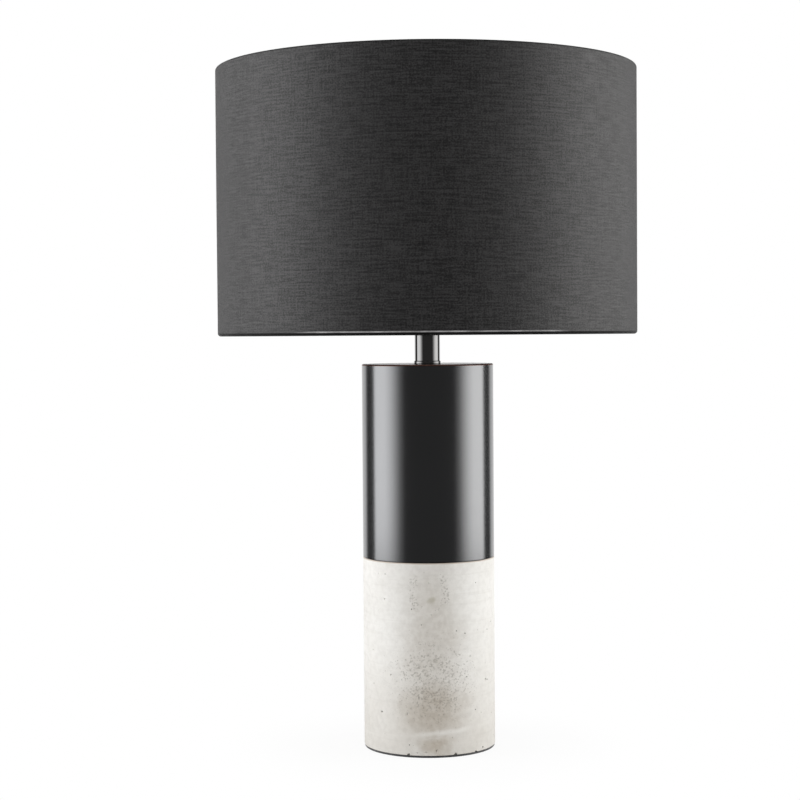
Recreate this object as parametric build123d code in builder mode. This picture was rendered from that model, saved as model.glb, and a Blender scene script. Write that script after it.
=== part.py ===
from build123d import *
import os

# Table lamp with a straight drum shade, in millimetres.
#
# A concrete cylinder carries a black metal sleeve of the same width and a narrow neck. One threaded pipe ties
# that stack together, from a nut under the concrete to the cap of the lamp socket. A harp stands in a saddle
# on the neck, goes round the bulb and holds the shade's spider between its swivel stud and the finial.
# Origin: centre of the foot pad's underside. +Z is up, the front looks along -Y, the cord inlet is at +Y.

# ---------------------------------------------------------------- clearances
seat_gap = 0.2          # between faces that rest on each other and belong to different moving bodies
slip_gap = 0.1          # radial, between pieces that slip into each other
running_gap = 0.05      # radial, round a shaft that turns
wire_gap = 0.05         # between a shade ring and the skins around it
pipe_gap = 0.25         # radial, round the threaded pipe where it passes through a piece
washer_gap = 0.2        # radial, between the finial's washer and the stud

# ---------------------------------------------------------------- base
base_diameter = 120.0
pad_thickness = 2.0
pad_inset = 0.5         # the felt stops this far inside the edge
concrete_height = 172.0
concrete_edge = 1.0
recess_diameter = 76.0  # underside, for the nut and the knotted cord
recess_depth = 22.0
cord_height = 12.0      # centre of the cord channel above the concrete's underside
cord_channel = 11.8
spot_face_diameter = 17.0
spot_face_depth = 2.6
bushing_flange = 16.0
bushing_flange_thickness = 2.0
bushing_length = 14.0   # barrel inside the channel
bushing_bore = 7.4

# ---------------------------------------------------------------- tie pipe and its hardware
pipe_diameter = 9.8
pipe_bore = 7.0
pipe_tail = 5.0         # stands out below the nut
pipe_engagement = 7.0   # inside the socket cap's hub
washer_diameter = 38.0
washer_thickness = 2.0
lock_washer_diameter = 17.0
lock_washer_thickness = 1.6
lock_washer_split = 1.5
nut_across_flats = 14.0
nut_height = 5.0
nut_chamfer = 0.5

# ---------------------------------------------------------------- sleeve and neck
sleeve_height = 176.0
sleeve_wall = 1.2
sleeve_top_thickness = 1.5
sleeve_edge = 1.5
centring_thickness = 3.0
collar_diameter = 24.5
collar_height = 2.5
collar_edge = 0.5
neck_diameter = 23.0
neck_wall = 1.5
neck_length = 43.0
neck_cap_height = 2.0
spigot_length = 3.0     # of the collar and the cap, inside the neck tube

# ---------------------------------------------------------------- harp saddle
saddle_thickness = 1.6
saddle_disc = 22.0
saddle_arm_width = 7.0
saddle_bend = 5.0
prong_width = 4.4
prong_shoulder = 6.0    # height of the full-width part of the arm above the saddle's underside
prong_height = 18.5     # tip above the saddle's underside

# ---------------------------------------------------------------- socket
hub_diameter = 14.0
hub_height = 8.0
cap_floor = 1.0
cap_diameter = 36.8
cap_wall = 0.9
cap_height = 14.0       # of the cup, above the hub
cap_edge = 3.0
set_screw_diameter = 3.0
set_screw_tip_gap = 0.1
set_screw_proud = 1.5
shell_wall = 0.7
shell_height = 49.0
shell_lip = 1.0
shell_mouth = 30.0
liner_wall = 0.9        # insulating sleeve inside the shell
block_diameter = 30.2   # insulating block that carries the contacts and the switch
block_height = 24.0
block_hollow = 24.0
block_hollow_depth = 8.0
screw_shell_diameter = 28.8
screw_shell_wall = 0.7
screw_shell_height = 22.0
screw_shell_window = 14.0
contact_diameter = 10.0
contact_thickness = 0.8
rivet_diameter = 3.0
rivet_length = 3.0
terminal_pocket_width = 12.0
terminal_pocket_height = 10.0
terminal_seat = 11.5    # seat of the screw heads, from the axis
terminal_head = 7.5
terminal_head_thickness = 2.0
terminal_slot = 1.0
terminal_slot_depth = 0.8
terminal_shank = 3.4
terminal_length = 5.0

# ---------------------------------------------------------------- turn switch
shaft_diameter = 3.0
shaft_height = 16.0     # of its axis above the block's underside
shaft_inner_end = 2.0   # from the lamp's axis
shaft_outer_end = 37.0
rotor_diameter = 8.0
rotor_inner_end = 7.0
rotor_outer_end = 12.0
rotor_chamber_gap = 0.5
shaft_window = 7.0      # hole in the shell and its liner
knob_diameter = 13.0
knob_length = 15.0
knob_start = 23.0       # inner end of the knob, from the lamp's axis
knob_flutes = 16
knob_flute_diameter = 1.6
knob_edge = 1.2

# ---------------------------------------------------------------- bulb
bulb_diameter = 60.0
bulb_length = 110.0     # contact to crown
bulb_glass_wall = 0.8
bulb_contact_diameter = 9.0
bulb_contact_thickness = 1.2
bulb_insulator_foot = 13.0
bulb_insulator_cone = 3.5
bulb_insulator_plug = 2.2
bulb_base_diameter = 26.2
bulb_base_wall = 0.6
bulb_base_height = 20.7
bulb_neck_depth = 6.5   # of the glass, inside the screw base
stem_foot_height = 2.0
stem_diameter = 8.0
stem_height = 38.0
lead_diameter = 0.9
lead_spread_foot = 5.0  # between the lead wires where they leave the stem
lead_spread_top = 24.0
lead_height = 22.0
lead_sink = 3.0         # inside the stem

# ---------------------------------------------------------------- harp
harp_height = 190.5     # saddle to shade seat
harp_wire = 4.0
harp_leg_spacing = 72.0
harp_loop_width = 116.0
harp_leg_straight = 54.5   # saddle to the bend where the legs open out
harp_flare_height = 32.0
harp_shoulder_drop = 42.4  # from the loop's flat top down to where its sides start to turn in
harp_flare_bend = 30.0
harp_shoulder_bend = 55.0
harp_top_bend = 24.0
harp_top_width = 76.0   # between the corners where the loop turns flat
leg_foot_height = 11.0  # lower end of the half-round foot above the saddle's underside
foot_flat_gap = 0.15    # from the leg's axis to the foot's flat face, and to the prong
ferrule_diameter = 8.6
ferrule_length = 14.0
ferrule_bore = 6.8
ferrule_guide = 3.0     # length that hugs the wire
ferrule_height = 10.5   # lower end above the saddle's underside
ferrule_edge = 0.6
bridge_length = 34.0
bridge_width = 10.0
bridge_height = 6.8
bridge_corner = 4.5
bridge_edge = 1.5
bridge_socket_depth = 8.0

# ---------------------------------------------------------------- swivel stud and finial
stud_head_diameter = 9.0
stud_head_height = 1.4
stud_shank = 5.9
stud_flange = 18.0
stud_flange_thickness = 2.0
stud_shoulder = 10.8
stud_shoulder_height = 1.2
stud_post = 6.2
stud_engagement = 8.2   # of the post inside the finial
finial_washer_diameter = 16.0
finial_washer_thickness = 1.0
finial_foot = 13.0
finial_foot_height = 2.5
finial_waist = 9.0
finial_waist_height = 5.0  # of the waist's middle above the finial's underside
finial_ball = 16.0
finial_height = 20.0
finial_bore_depth = 10.0

# ---------------------------------------------------------------- shade
shade_diameter = 381.0
shade_height = 240.0
fabric_thickness = 0.8
shade_liner_thickness = 0.8
hem_height = 12.0       # of the turned-in strip inside
ring_wire = 3.6
spider_drop = 27.8      # top edge of the shade down to the underside of the spider's hub
spider_hub = 28.0
spider_hub_thickness = 1.6
spider_arms = 3
spider_first_arm = 90.0    # degrees from +X
spider_rim_run = 24.0      # level part of an arm beside the ring
spider_slope_run = 26.0    # horizontal reach of its sloping part
spider_bend = 10.0
hem_notch_gap = 0.6        # on each side of an arm, where the hem is notched for it

# ---------------------------------------------------------------- heights and radii that follow
base_radius = base_diameter / 2
recess_top = pad_thickness + recess_depth
concrete_top = pad_thickness + concrete_height
sleeve_top = concrete_top + sleeve_height
neck_bottom = sleeve_top + collar_height
neck_top = neck_bottom + neck_length
neck_bore_radius = neck_diameter / 2 - neck_wall
saddle_z = neck_top + neck_cap_height
cap_z = saddle_z + saddle_thickness
cap_seat = cap_z + hub_height + cap_floor
washer_z = recess_top - washer_thickness
lock_washer_z = washer_z - lock_washer_thickness
nut_z = lock_washer_z - nut_height
pipe_z = nut_z - pipe_tail
pipe_top = cap_z + pipe_engagement
pipe_hole = pipe_diameter / 2 + pipe_gap
cord_z = pad_thickness + cord_height
bushing_seat = base_radius - spot_face_depth
shell_radius = cap_diameter / 2 - cap_wall - slip_gap
shell_top = cap_seat + shell_height
block_top = cap_seat + block_height
shaft_z = cap_seat + shaft_height
contact_top = block_top + contact_thickness
leg_x = harp_leg_spacing / 2
loop_x = harp_loop_width / 2
seat_z = saddle_z + harp_height
prong_top = saddle_z + prong_height
ferrule_z = saddle_z + ferrule_height
bridge_top = seat_z - stud_flange_thickness - seat_gap
bridge_z = bridge_top - bridge_height
harp_top_z = bridge_z + bridge_height / 2
hub_z = seat_z + seat_gap
finial_washer_z = hub_z + spider_hub_thickness + seat_gap
finial_z = finial_washer_z + finial_washer_thickness + seat_gap
stud_top = finial_z + stud_engagement
shade_top = hub_z + spider_drop
shade_z = shade_top - shade_height
fabric_inner = shade_diameter / 2 - fabric_thickness
shade_liner_inner = fabric_inner - shade_liner_thickness
ring_radius = shade_liner_inner - wire_gap - ring_wire / 2
ring_inset = fabric_thickness + wire_gap + ring_wire / 2
hem_outer = ring_radius - ring_wire / 2 - wire_gap
hem_inner = hem_outer - fabric_thickness
top_ring_z = shade_top - ring_inset
bottom_ring_z = shade_z + ring_inset

# ================================================================ base
with BuildPart() as foot_pad:
    with BuildSketch(Plane.XY):
        Circle(base_radius - pad_inset)
    extrude(amount=pad_thickness)

with BuildPart() as concrete_base:
    with BuildSketch(Plane.XY.offset(pad_thickness)):
        Circle(base_radius)
    extrude(amount=concrete_height)
    fillet(concrete_base.edges().filter_by(GeomType.CIRCLE), concrete_edge)
    with BuildSketch(Plane.XY.offset(pad_thickness)):
        Circle(recess_diameter / 2)
    extrude(amount=recess_depth, mode=Mode.SUBTRACT)
    with BuildSketch(Plane.XY.offset(recess_top)):
        Circle(pipe_hole)
    extrude(amount=concrete_top - recess_top, mode=Mode.SUBTRACT)
    with BuildSketch(Plane.back):
        with Locations((0, cord_z)):
            Circle(cord_channel / 2)
    extrude(amount=base_radius, mode=Mode.SUBTRACT)
    with BuildSketch(Plane.back.offset(bushing_seat)):
        with Locations((0, cord_z)):
            Circle(spot_face_diameter / 2)
    extrude(amount=spot_face_depth, mode=Mode.SUBTRACT)

with BuildPart() as cord_bushing:
    with BuildSketch(Plane.back.offset(bushing_seat)):
        with Locations((0, cord_z)):
            Circle(bushing_flange / 2)
    extrude(amount=bushing_flange_thickness)
    with BuildSketch(Plane.back.offset(bushing_seat - bushing_length)):
        with Locations((0, cord_z)):
            Circle(cord_channel / 2 - slip_gap)
    extrude(amount=bushing_length)
    with BuildSketch(Plane.back.offset(bushing_seat - bushing_length)):
        with Locations((0, cord_z)):
            Circle(bushing_bore / 2)
    extrude(amount=bushing_length + bushing_flange_thickness, mode=Mode.SUBTRACT)

# ================================================================ tie pipe and its hardware
with BuildPart() as bottom_washer:
    with BuildSketch(Plane.XY.offset(washer_z)):
        Circle(washer_diameter / 2)
        Circle(pipe_hole, mode=Mode.SUBTRACT)
    extrude(amount=washer_thickness)

with BuildPart() as lock_washer:
    with BuildSketch(Plane.XY.offset(lock_washer_z)):
        Circle(lock_washer_diameter / 2)
        Circle(pipe_hole, mode=Mode.SUBTRACT)
        Rectangle(
            lock_washer_diameter,
            lock_washer_split,
            align=(Align.MIN, Align.CENTER),
            mode=Mode.SUBTRACT,
        )
    extrude(amount=lock_washer_thickness)

with BuildPart() as bottom_nut:
    with BuildSketch(Plane.XY.offset(nut_z)):
        RegularPolygon(nut_across_flats / 2, 6, major_radius=False)
    extrude(amount=nut_height)
    chamfer(bottom_nut.edges().group_by(Axis.Z)[0], nut_chamfer)
    with BuildSketch(Plane.XY.offset(nut_z)):
        Circle(pipe_diameter / 2 + slip_gap)
    extrude(amount=nut_height, mode=Mode.SUBTRACT)

with BuildPart() as threaded_pipe:
    with BuildSketch(Plane.XY.offset(pipe_z)):
        Circle(pipe_diameter / 2)
        Circle(pipe_bore / 2, mode=Mode.SUBTRACT)
    extrude(amount=pipe_top - pipe_z)

# ================================================================ sleeve and neck
with BuildPart() as centring_plate:
    with BuildSketch(Plane.XY.offset(concrete_top)):
        Circle(base_radius - sleeve_wall - slip_gap)
        Circle(pipe_hole, mode=Mode.SUBTRACT)
    extrude(amount=centring_thickness)

with BuildPart() as metal_sleeve:
    with BuildSketch(Plane.XY.offset(concrete_top)):
        Circle(base_radius)
    extrude(amount=sleeve_height)
    fillet(metal_sleeve.edges().group_by(Axis.Z)[-1], sleeve_edge)
    with BuildSketch(Plane.XY.offset(concrete_top)):
        Circle(base_radius - sleeve_wall)
    extrude(amount=sleeve_height - sleeve_top_thickness, mode=Mode.SUBTRACT)
    with BuildSketch(Plane.XY.offset(sleeve_top - sleeve_top_thickness)):
        Circle(pipe_hole)
    extrude(amount=sleeve_top_thickness, mode=Mode.SUBTRACT)

with BuildPart() as neck_collar:
    with BuildSketch(Plane.XY.offset(sleeve_top)):
        Circle(collar_diameter / 2)
    extrude(amount=collar_height)
    fillet(neck_collar.edges().group_by(Axis.Z)[-1], collar_edge)
    with BuildSketch(Plane.XY.offset(neck_bottom)):
        Circle(neck_bore_radius - slip_gap)
    extrude(amount=spigot_length)
    with BuildSketch(Plane.XY.offset(sleeve_top)):
        Circle(pipe_hole)
    extrude(amount=collar_height + spigot_length, mode=Mode.SUBTRACT)

with BuildPart() as neck_tube:
    with BuildSketch(Plane.XY.offset(neck_bottom)):
        Circle(neck_diameter / 2)
        Circle(neck_bore_radius, mode=Mode.SUBTRACT)
    extrude(amount=neck_length)

with BuildPart() as neck_cap:
    with BuildSketch(Plane.XY.offset(neck_top)):
        Circle(collar_diameter / 2)
    extrude(amount=neck_cap_height)
    fillet(neck_cap.edges().group_by(Axis.Z)[-1], collar_edge)
    with BuildSketch(Plane.XY.offset(neck_top - spigot_length)):
        Circle(neck_bore_radius - slip_gap)
    extrude(amount=spigot_length)
    with BuildSketch(Plane.XY.offset(neck_top - spigot_length)):
        Circle(pipe_hole)
    extrude(amount=spigot_length + neck_cap_height, mode=Mode.SUBTRACT)

# ================================================================ harp saddle
# A bent strip whose upright prongs stand inside the harp's ferrules, beside the flat of each leg's foot.
prong_x = leg_x - foot_flat_gap - saddle_thickness
with BuildPart() as harp_saddle:
    with BuildSketch(Plane.XZ):
        with BuildLine():
            outer = FilletPolyline(
                (-prong_x - saddle_thickness, prong_top),
                (-prong_x - saddle_thickness, saddle_z),
                (prong_x + saddle_thickness, saddle_z),
                (prong_x + saddle_thickness, prong_top),
                radius=saddle_bend + saddle_thickness,
            )
            inner = FilletPolyline(
                (-prong_x, prong_top),
                (-prong_x, saddle_z + saddle_thickness),
                (prong_x, saddle_z + saddle_thickness),
                (prong_x, prong_top),
                radius=saddle_bend,
            )
            Line(outer @ 0, inner @ 0)
            Line(outer @ 1, inner @ 1)
        make_face()
    extrude(amount=saddle_arm_width / 2, both=True)
    with BuildSketch(Plane.YZ):
        with Locations((0, saddle_z)):
            Rectangle(saddle_arm_width, prong_shoulder, align=(Align.CENTER, Align.MIN))
            Rectangle(prong_width, prong_height, align=(Align.CENTER, Align.MIN))
    extrude(amount=leg_x, both=True, mode=Mode.INTERSECT)
    with BuildSketch(Plane.XY.offset(saddle_z)):
        Circle(saddle_disc / 2)
    extrude(amount=saddle_thickness)
    with BuildSketch(Plane.XY.offset(saddle_z)):
        Circle(pipe_hole)
    extrude(amount=saddle_thickness, mode=Mode.SUBTRACT)

# ================================================================ socket
with BuildPart() as socket_cap:
    with BuildSketch(Plane.XY.offset(cap_z)):
        Circle(hub_diameter / 2)
    extrude(amount=hub_height)
    with BuildSketch(Plane.XY.offset(cap_z + hub_height)):
        Circle(cap_diameter / 2)
    extrude(amount=cap_height)
    rim = socket_cap.edges().filter_by(GeomType.CIRCLE).sort_by(SortBy.RADIUS)[-2:]
    fillet(rim.sort_by(Axis.Z)[0], cap_edge)
    with BuildSketch(Plane.XY.offset(cap_seat)):
        Circle(cap_diameter / 2 - cap_wall)
    extrude(amount=cap_height - cap_floor, mode=Mode.SUBTRACT)
    with BuildSketch(Plane.XY.offset(cap_z)):
        Circle(pipe_diameter / 2 + slip_gap)
    extrude(amount=hub_height + cap_floor, mode=Mode.SUBTRACT)
    with BuildSketch(Plane.back):
        with Locations((0, cap_z + hub_height / 2)):
            Circle(set_screw_diameter / 2 + slip_gap)
    extrude(amount=hub_diameter, mode=Mode.SUBTRACT)

screw_tip = pipe_diameter / 2 + set_screw_tip_gap
with BuildPart() as socket_set_screw:
    with BuildSketch(Plane.back.offset(screw_tip)):
        with Locations((0, cap_z + hub_height / 2)):
            Circle(set_screw_diameter / 2)
    extrude(amount=hub_diameter / 2 + set_screw_proud - screw_tip)

with BuildPart() as socket_shell:
    with BuildSketch(Plane.XY.offset(cap_seat)):
        Circle(shell_radius)
        Circle(shell_radius - shell_wall, mode=Mode.SUBTRACT)
    extrude(amount=shell_height)
    with BuildSketch(Plane.XY.offset(shell_top - shell_lip)):
        Circle(shell_radius)
        Circle(shell_mouth / 2, mode=Mode.SUBTRACT)
    extrude(amount=shell_lip)
    with BuildSketch(Plane.front):
        with Locations((0, shaft_z)):
            Circle(shaft_window / 2)
    extrude(amount=cap_diameter, mode=Mode.SUBTRACT)

liner_radius = shell_radius - shell_wall - slip_gap
with BuildPart() as socket_liner:
    with BuildSketch(Plane.XY.offset(cap_seat)):
        Circle(liner_radius)
        Circle(liner_radius - liner_wall, mode=Mode.SUBTRACT)
    extrude(amount=shell_height - shell_lip)
    with BuildSketch(Plane.front):
        with Locations((0, shaft_z)):
            Circle(shaft_window / 2)
    extrude(amount=cap_diameter, mode=Mode.SUBTRACT)

with BuildPart() as socket_block:
    with BuildSketch(Plane.XY.offset(cap_seat)):
        Circle(block_diameter / 2)
    extrude(amount=block_height)
    with BuildSketch(Plane.XY.offset(cap_seat)):
        Circle(block_hollow / 2)
    extrude(amount=block_hollow_depth, mode=Mode.SUBTRACT)
    with BuildSketch(Plane.front.offset(rotor_inner_end - rotor_chamber_gap)):
        with Locations((0, shaft_z)):
            Circle(rotor_diameter / 2 + rotor_chamber_gap)
    extrude(amount=block_diameter, mode=Mode.SUBTRACT)
    with BuildSketch(Plane.front.offset(shaft_inner_end - rotor_chamber_gap)):
        with Locations((0, shaft_z)):
            Circle(shaft_diameter / 2 + running_gap)
    extrude(amount=block_diameter, mode=Mode.SUBTRACT)
    with BuildSketch(Plane.XY.offset(block_top - rivet_length)):
        Circle(rivet_diameter / 2 + slip_gap)
    extrude(amount=rivet_length, mode=Mode.SUBTRACT)
    for side in (Plane.left, Plane.right):
        with BuildSketch(side.offset(terminal_seat)):
            with Locations((0, shaft_z)):
                Rectangle(terminal_pocket_width, terminal_pocket_height)
        extrude(amount=block_diameter, mode=Mode.SUBTRACT)
        with BuildSketch(side.offset(terminal_seat - terminal_length)):
            with Locations((0, shaft_z)):
                Circle(terminal_shank / 2 + slip_gap)
        extrude(amount=terminal_length, mode=Mode.SUBTRACT)

with BuildPart() as terminal_screws:
    for side in (Plane.left, Plane.right):
        with BuildSketch(side.offset(terminal_seat)):
            with Locations((0, shaft_z)):
                Circle(terminal_head / 2)
        extrude(amount=terminal_head_thickness)
        with BuildSketch(side.offset(terminal_seat + terminal_head_thickness - terminal_slot_depth)):
            with Locations((0, shaft_z)):
                Rectangle(terminal_head, terminal_slot)
        extrude(amount=terminal_slot_depth, mode=Mode.SUBTRACT)
        with BuildSketch(side.offset(terminal_seat - terminal_length)):
            with Locations((0, shaft_z)):
                Circle(terminal_shank / 2)
        extrude(amount=terminal_length)

with BuildPart() as centre_contact:
    with BuildSketch(Plane.XY.offset(block_top)):
        Circle(contact_diameter / 2)
    extrude(amount=contact_thickness)
    with BuildSketch(Plane.XY.offset(block_top - rivet_length)):
        Circle(rivet_diameter / 2)
    extrude(amount=rivet_length)

with BuildPart() as screw_shell:
    with BuildSketch(Plane.XY.offset(block_top)):
        Circle(screw_shell_diameter / 2)
    extrude(amount=screw_shell_height)
    with BuildSketch(Plane.XY.offset(block_top + screw_shell_wall)):
        Circle(screw_shell_diameter / 2 - screw_shell_wall)
    extrude(amount=screw_shell_height - screw_shell_wall, mode=Mode.SUBTRACT)
    with BuildSketch(Plane.XY.offset(block_top)):
        Circle(screw_shell_window / 2)
    extrude(amount=screw_shell_wall, mode=Mode.SUBTRACT)

# ================================================================ turn switch
with BuildPart() as switch_shaft:
    with BuildSketch(Plane.front.offset(shaft_inner_end)):
        with Locations((0, shaft_z)):
            Circle(shaft_diameter / 2)
    extrude(amount=shaft_outer_end - shaft_inner_end)
    with BuildSketch(Plane.front.offset(rotor_inner_end)):
        with Locations((0, shaft_z)):
            Circle(rotor_diameter / 2)
    extrude(amount=rotor_outer_end - rotor_inner_end)

with BuildPart() as switch_knob:
    with BuildSketch(Plane.front.offset(knob_start)):
        with Locations((0, shaft_z)):
            Circle(knob_diameter / 2)
    extrude(amount=knob_length)
    fillet(switch_knob.edges().filter_by(GeomType.CIRCLE), knob_edge)
    with BuildSketch(Plane.front.offset(knob_start)):
        with Locations((0, shaft_z)):
            with PolarLocations(knob_diameter / 2, knob_flutes):
                Circle(knob_flute_diameter / 2)
    extrude(amount=knob_length, mode=Mode.SUBTRACT)
    with BuildSketch(Plane.front.offset(knob_start)):
        with Locations((0, shaft_z)):
            Circle(shaft_diameter / 2 + running_gap)
    extrude(amount=shaft_outer_end + running_gap - knob_start, mode=Mode.SUBTRACT)

# ================================================================ bulb
bulb_z = contact_top + seat_gap
bulb_top = bulb_z + bulb_length
insulator_z = bulb_z + bulb_contact_thickness
bulb_base_z = insulator_z + bulb_insulator_cone
bulb_base_top = bulb_base_z + bulb_base_height
bulb_base_bore = bulb_base_diameter / 2 - bulb_base_wall
glass_z = bulb_base_top - bulb_neck_depth
crown_z = bulb_top - bulb_diameter / 2


def bulb_outline(inset):
    """Half section of the glass, closed on the axis, drawn this far inside the outer surface."""
    neck = bulb_base_bore - slip_gap - inset
    belly = bulb_diameter / 2 - inset
    with BuildLine() as outline:
        Polyline((0, crown_z), (0, glass_z), (neck, glass_z), (neck, bulb_base_top))
        Spline((neck, bulb_base_top), (belly, crown_z), tangents=((0, 1), (0, 1)))
        RadiusArc((belly, crown_z), (0, crown_z + belly), -belly)
        Line((0, crown_z + belly), (0, crown_z))
    return outline.edges()


glass_outside = bulb_outline(0)
glass_inside = bulb_outline(bulb_glass_wall)
with BuildPart() as bulb_glass:
    with BuildSketch(Plane.XZ):
        make_face(glass_outside)
    revolve(axis=Axis.Z)
    with BuildSketch(Plane.XZ):
        make_face(glass_inside)
    revolve(axis=Axis.Z, mode=Mode.SUBTRACT)

with BuildPart() as bulb_screw_base:
    with BuildSketch(Plane.XY.offset(bulb_base_z)):
        Circle(bulb_base_diameter / 2)
        Circle(bulb_base_bore, mode=Mode.SUBTRACT)
    extrude(amount=bulb_base_height)

with BuildPart() as bulb_insulator:
    with BuildSketch(Plane.XZ):
        with BuildLine():
            Polyline(
                (0, insulator_z),
                (bulb_insulator_foot / 2, insulator_z),
                (bulb_base_bore - slip_gap, bulb_base_z),
                (bulb_base_bore - slip_gap, bulb_base_z + bulb_insulator_plug),
                (0, bulb_base_z + bulb_insulator_plug),
                close=True,
            )
        make_face()
    revolve(axis=Axis.Z)

with BuildPart() as bulb_contact:
    with BuildSketch(Plane.XY.offset(bulb_z)):
        Circle(bulb_contact_diameter / 2)
    extrude(amount=bulb_contact_thickness)

stem_foot_radius = bulb_base_bore - slip_gap - bulb_glass_wall - slip_gap
with BuildPart() as bulb_stem:
    with BuildSketch(Plane.XY.offset(glass_z)):
        Circle(stem_foot_radius)
    extrude(amount=stem_foot_height)
    with BuildSketch(Plane.XY.offset(glass_z)):
        Circle(stem_diameter / 2)
    extrude(amount=stem_height)

stem_top = glass_z + stem_height
lead_z = stem_top - lead_sink
lead_top = stem_top + lead_height
with BuildPart() as bulb_filament:
    with BuildLine(Plane.XZ) as leads:
        FilletPolyline(
            (-lead_spread_foot / 2, lead_z),
            (-lead_spread_foot / 2, stem_top),
            (-lead_spread_top / 2, lead_top),
            (lead_spread_top / 2, lead_top),
            (lead_spread_foot / 2, stem_top),
            (lead_spread_foot / 2, lead_z),
            radius=lead_diameter,
        )
    with BuildSketch(Plane(leads.line @ 0, z_dir=leads.line % 0)):
        Circle(lead_diameter / 2)
    sweep()

with bulb_stem:
    for lead_x in (-lead_spread_foot / 2, lead_spread_foot / 2):
        with BuildSketch(Plane.XY.offset(lead_z)):
            with Locations((lead_x, 0)):
                Circle(lead_diameter / 2 + slip_gap)
        extrude(amount=lead_sink, mode=Mode.SUBTRACT)

# ================================================================ harp
# Each half of the loop stands on a saddle prong by the step of its half-round foot and ends in the bridge.
flare_z = saddle_z + harp_leg_straight
side_z = flare_z + harp_flare_height
with BuildPart() as harp_wire_right:
    with BuildLine(Plane.XZ) as half_loop:
        FilletPolyline(
            (leg_x, saddle_z + leg_foot_height),
            (leg_x, flare_z),
            (loop_x, side_z),
            (loop_x, harp_top_z - harp_shoulder_drop),
            (harp_top_width / 2, harp_top_z),
            (bridge_length / 2 - bridge_socket_depth, harp_top_z),
            radius=(harp_flare_bend, harp_flare_bend, harp_shoulder_bend, harp_top_bend),
        )
    with BuildSketch(Plane(half_loop.line @ 0, z_dir=half_loop.line % 0)):
        Circle(harp_wire / 2)
    sweep()
    with BuildSketch(Plane.XY.offset(saddle_z + leg_foot_height)):
        with Locations((leg_x + foot_flat_gap, 0)):
            Rectangle(harp_wire, harp_wire, align=(Align.MAX, Align.CENTER))
    extrude(amount=prong_top + seat_gap - saddle_z - leg_foot_height, mode=Mode.SUBTRACT)

with BuildPart() as harp_wire_left:
    mirror(harp_wire_right.part, about=Plane.YZ)

with BuildPart() as ferrule_right:
    with BuildSketch(Plane.XY.offset(ferrule_z)):
        with Locations((leg_x, 0)):
            Circle(ferrule_diameter / 2)
    extrude(amount=ferrule_length)
    fillet(ferrule_right.edges().filter_by(GeomType.CIRCLE), ferrule_edge)
    with BuildSketch(Plane.XY.offset(ferrule_z)):
        with Locations((leg_x, 0)):
            Circle(ferrule_bore / 2)
    extrude(amount=ferrule_length - ferrule_guide, mode=Mode.SUBTRACT)
    with BuildSketch(Plane.XY.offset(ferrule_z)):
        with Locations((leg_x, 0)):
            Circle(harp_wire / 2 + slip_gap)
    extrude(amount=ferrule_length, mode=Mode.SUBTRACT)

with BuildPart() as ferrule_left:
    mirror(ferrule_right.part, about=Plane.YZ)

with BuildPart() as harp_bridge:
    with BuildSketch(Plane.XY.offset(bridge_z)):
        RectangleRounded(bridge_length, bridge_width, bridge_corner)
    extrude(amount=bridge_height)
    fillet(harp_bridge.edges().group_by(Axis.Z)[0], bridge_edge)
    for side in (Plane.left, Plane.right):
        with BuildSketch(side.offset(bridge_length / 2 - bridge_socket_depth)):
            with Locations((0, harp_top_z)):
                Circle(harp_wire / 2 + slip_gap)
        extrude(amount=bridge_socket_depth, mode=Mode.SUBTRACT)
    with BuildSketch(Plane.XY.offset(bridge_z)):
        Circle(stud_shank / 2 + running_gap)
    extrude(amount=bridge_height, mode=Mode.SUBTRACT)

# ================================================================ swivel stud and finial
stud_head_top = bridge_z - seat_gap
with BuildPart() as swivel_stud:
    with BuildSketch(Plane.XZ):
        with BuildLine():
            Polyline(
                (0, stud_head_top - stud_head_height),
                (stud_head_diameter / 2, stud_head_top - stud_head_height),
                (stud_head_diameter / 2, stud_head_top),
                (stud_shank / 2, stud_head_top),
                (stud_shank / 2, seat_z - stud_flange_thickness),
                (stud_flange / 2, seat_z - stud_flange_thickness),
                (stud_flange / 2, seat_z),
                (stud_shoulder / 2, seat_z),
                (stud_shoulder / 2, seat_z + stud_shoulder_height),
                (stud_post / 2, seat_z + stud_shoulder_height),
                (stud_post / 2, stud_top),
                (0, stud_top),
                close=True,
            )
        make_face()
    revolve(axis=Axis.Z)

with BuildPart() as finial_washer:
    with BuildSketch(Plane.XY.offset(finial_washer_z)):
        Circle(finial_washer_diameter / 2)
        Circle(stud_post / 2 + washer_gap, mode=Mode.SUBTRACT)
    extrude(amount=finial_washer_thickness)

finial_ball_z = finial_z + finial_height - finial_ball / 2
with BuildPart() as finial:
    with BuildSketch(Plane.XZ):
        with BuildLine():
            Polyline(
                (0, finial_ball_z),
                (0, finial_z),
                (finial_foot / 2, finial_z),
                (finial_foot / 2, finial_z + finial_foot_height),
            )
            Spline(
                (finial_foot / 2, finial_z + finial_foot_height),
                (finial_waist / 2, finial_z + finial_waist_height),
                (finial_ball / 2, finial_ball_z),
                tangents=((-1, 0), (0, 1)),
            )
            RadiusArc((finial_ball / 2, finial_ball_z), (0, finial_z + finial_height), -finial_ball / 2)
            Line((0, finial_z + finial_height), (0, finial_ball_z))
        make_face()
    revolve(axis=Axis.Z)
    with BuildSketch(Plane.XY.offset(finial_z)):
        Circle(stud_post / 2 + running_gap)
    extrude(amount=finial_bore_depth, mode=Mode.SUBTRACT)

# ================================================================ shade
with BuildPart() as top_ring:
    with BuildSketch(Plane.XZ):
        with Locations((ring_radius, top_ring_z)):
            Circle(ring_wire / 2)
    revolve(axis=Axis.Z)

with BuildPart() as bottom_ring:
    with BuildSketch(Plane.XZ):
        with Locations((ring_radius, bottom_ring_z)):
            Circle(ring_wire / 2)
    revolve(axis=Axis.Z)

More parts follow.
